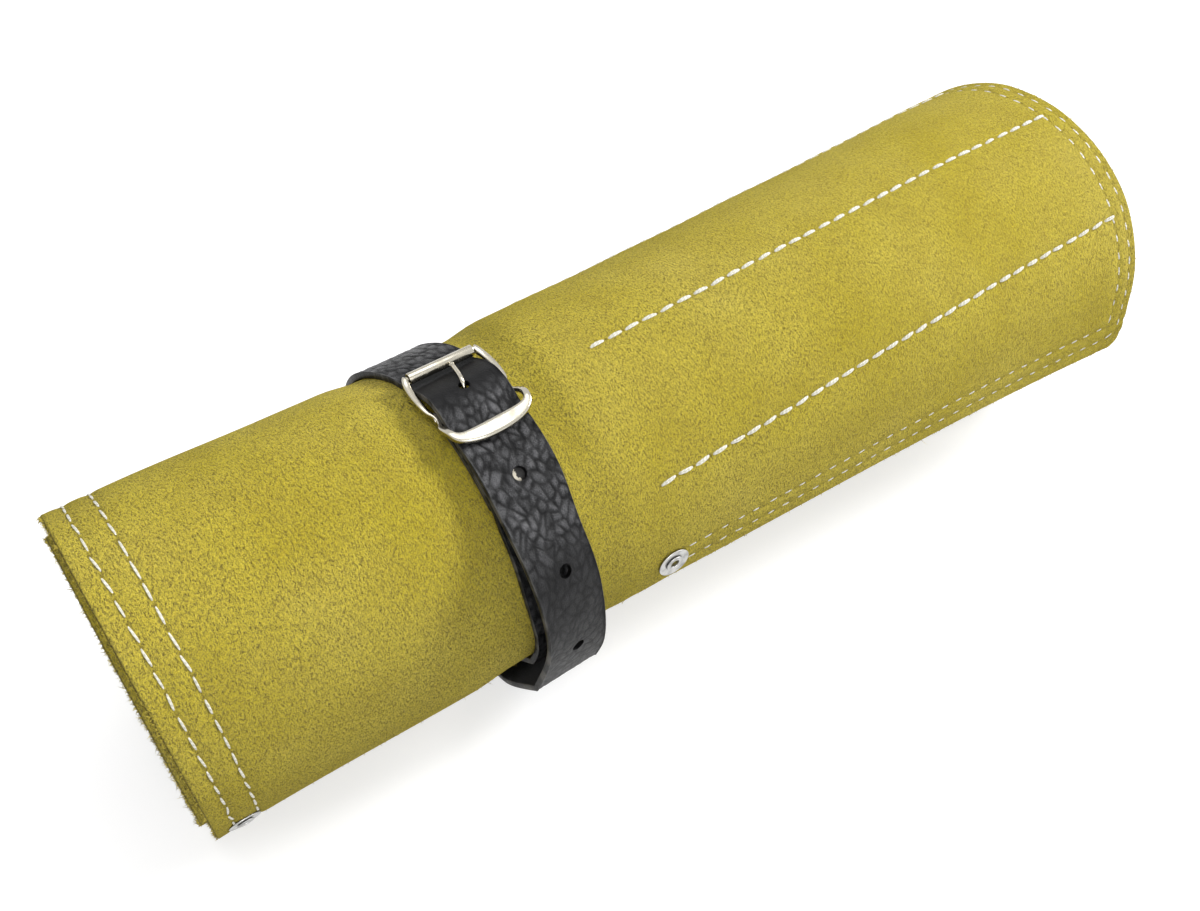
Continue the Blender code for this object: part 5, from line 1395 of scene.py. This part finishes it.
def build_stage():
    """Pale floor, white for the camera and for reflections, that keeps the object's soft shadow.

    Its glow grows with the distance from the object, so that the floor stays white out to the horizon.
    """
    corners = [(x, y, -0.2 * MM) for x, y in ((-4, -4), (4, -4), (4, 4), (-4, 4))]
    floor = new_object("floor", new_mesh("floor", corners, [(0, 1, 2, 3)]))
    made = bpy.data.materials.new("white floor")
    made.use_nodes = True
    tree = made.node_tree
    tree.nodes.clear()
    n = Nodes(tree)
    diffuse = n.add("ShaderNodeBsdfDiffuse", {"Color": (0.52, 0.52, 0.52, 1.0)})
    distance = n.add("ShaderNodeVectorMath", {0: n.place()}, operation="LENGTH").outputs["Value"]
    level = n.times(n.seen(), n.ramp(distance, 0.35, 1.6, 0.58, 1.0))
    glow = n.add("ShaderNodeEmission", {"Color": (1.0, 1.0, 1.0, 1.0), "Strength": level})
    both = n.add("ShaderNodeAddShader", {0: diffuse.outputs[0], 1: glow.outputs[0]})
    output = n.add("ShaderNodeOutputMaterial", {"Surface": both.outputs[0]})
    output.is_active_output = True
    floor.data.materials.append(made)


def build_light():
    """White surroundings and three large soft lamps; the surroundings are seen white but light things less."""
    world = bpy.data.worlds.new("studio")
    bpy.context.scene.world = world
    world.use_nodes = True
    n = Nodes(world.node_tree)
    background = n.tree.nodes["Background"]
    n.tree.links.new(n.ramp(n.seen(), 0.0, 1.0, 0.48, 1.0), background.inputs["Strength"])
    background.inputs["Color"].default_value = (1.0, 1.0, 1.0, 1.0)
    lamps = (
        ("key", (2.2, -0.42, 1.42), 0.95, 84.0),
        ("over", (0.0, 0.15, 1.5), 1.1, 9.0),
        ("front", (-0.4, -1.3, 0.8), 0.9, 11.0),
    )
    for name, place, size, power in lamps:
        data = bpy.data.lights.new(name, "AREA")
        data.shape, data.size, data.energy = "SQUARE", size, power
        place = np.array(place)
        back = unit(place - (0.0, 0.0, 0.05))
        side = unit(np.cross((0.0, 1.0, 0.0) if abs(back[2]) > 0.95 else (0.0, 0.0, 1.0), back))
        new_object(name, data).matrix_world = Matrix(placement(side, np.cross(back, side), back, place).tolist())


def build_camera():
    """Camera at the photograph's viewpoint, from its place, pitch, yaw and roll."""
    data = bpy.data.cameras.new("camera")
    data.sensor_fit, data.sensor_width, data.lens = "HORIZONTAL", 36.0, 33.8445
    data.clip_start = 0.01
    camera = new_object("camera", data)
    pitch, yaw, roll = (math.radians(value) for value in (46.078, 36.821, 0.166))
    level = np.array((math.cos(yaw), -math.sin(yaw), 0.0))
    ahead = np.array((math.sin(yaw), math.cos(yaw), 0.0))
    up = math.sin(pitch) * ahead + (0.0, 0.0, math.cos(pitch))
    right = math.cos(roll) * level + math.sin(roll) * up
    raised = -math.sin(roll) * level + math.cos(roll) * up
    place = np.array((0.581, -179.814, 272.537)) * MM + ROOT_SHIFT
    camera.matrix_world = Matrix(placement(right, raised, np.cross(right, raised), place).tolist())
    bpy.context.scene.camera = camera


build_panels()
build_fibres()
build_stitches()
build_fixed_strap()
build_tail()
build_buckle()
build_prong()
build_rivets()
build_stage()
build_light()
build_camera()
bpy.context.scene.view_settings.view_transform = "Standard"
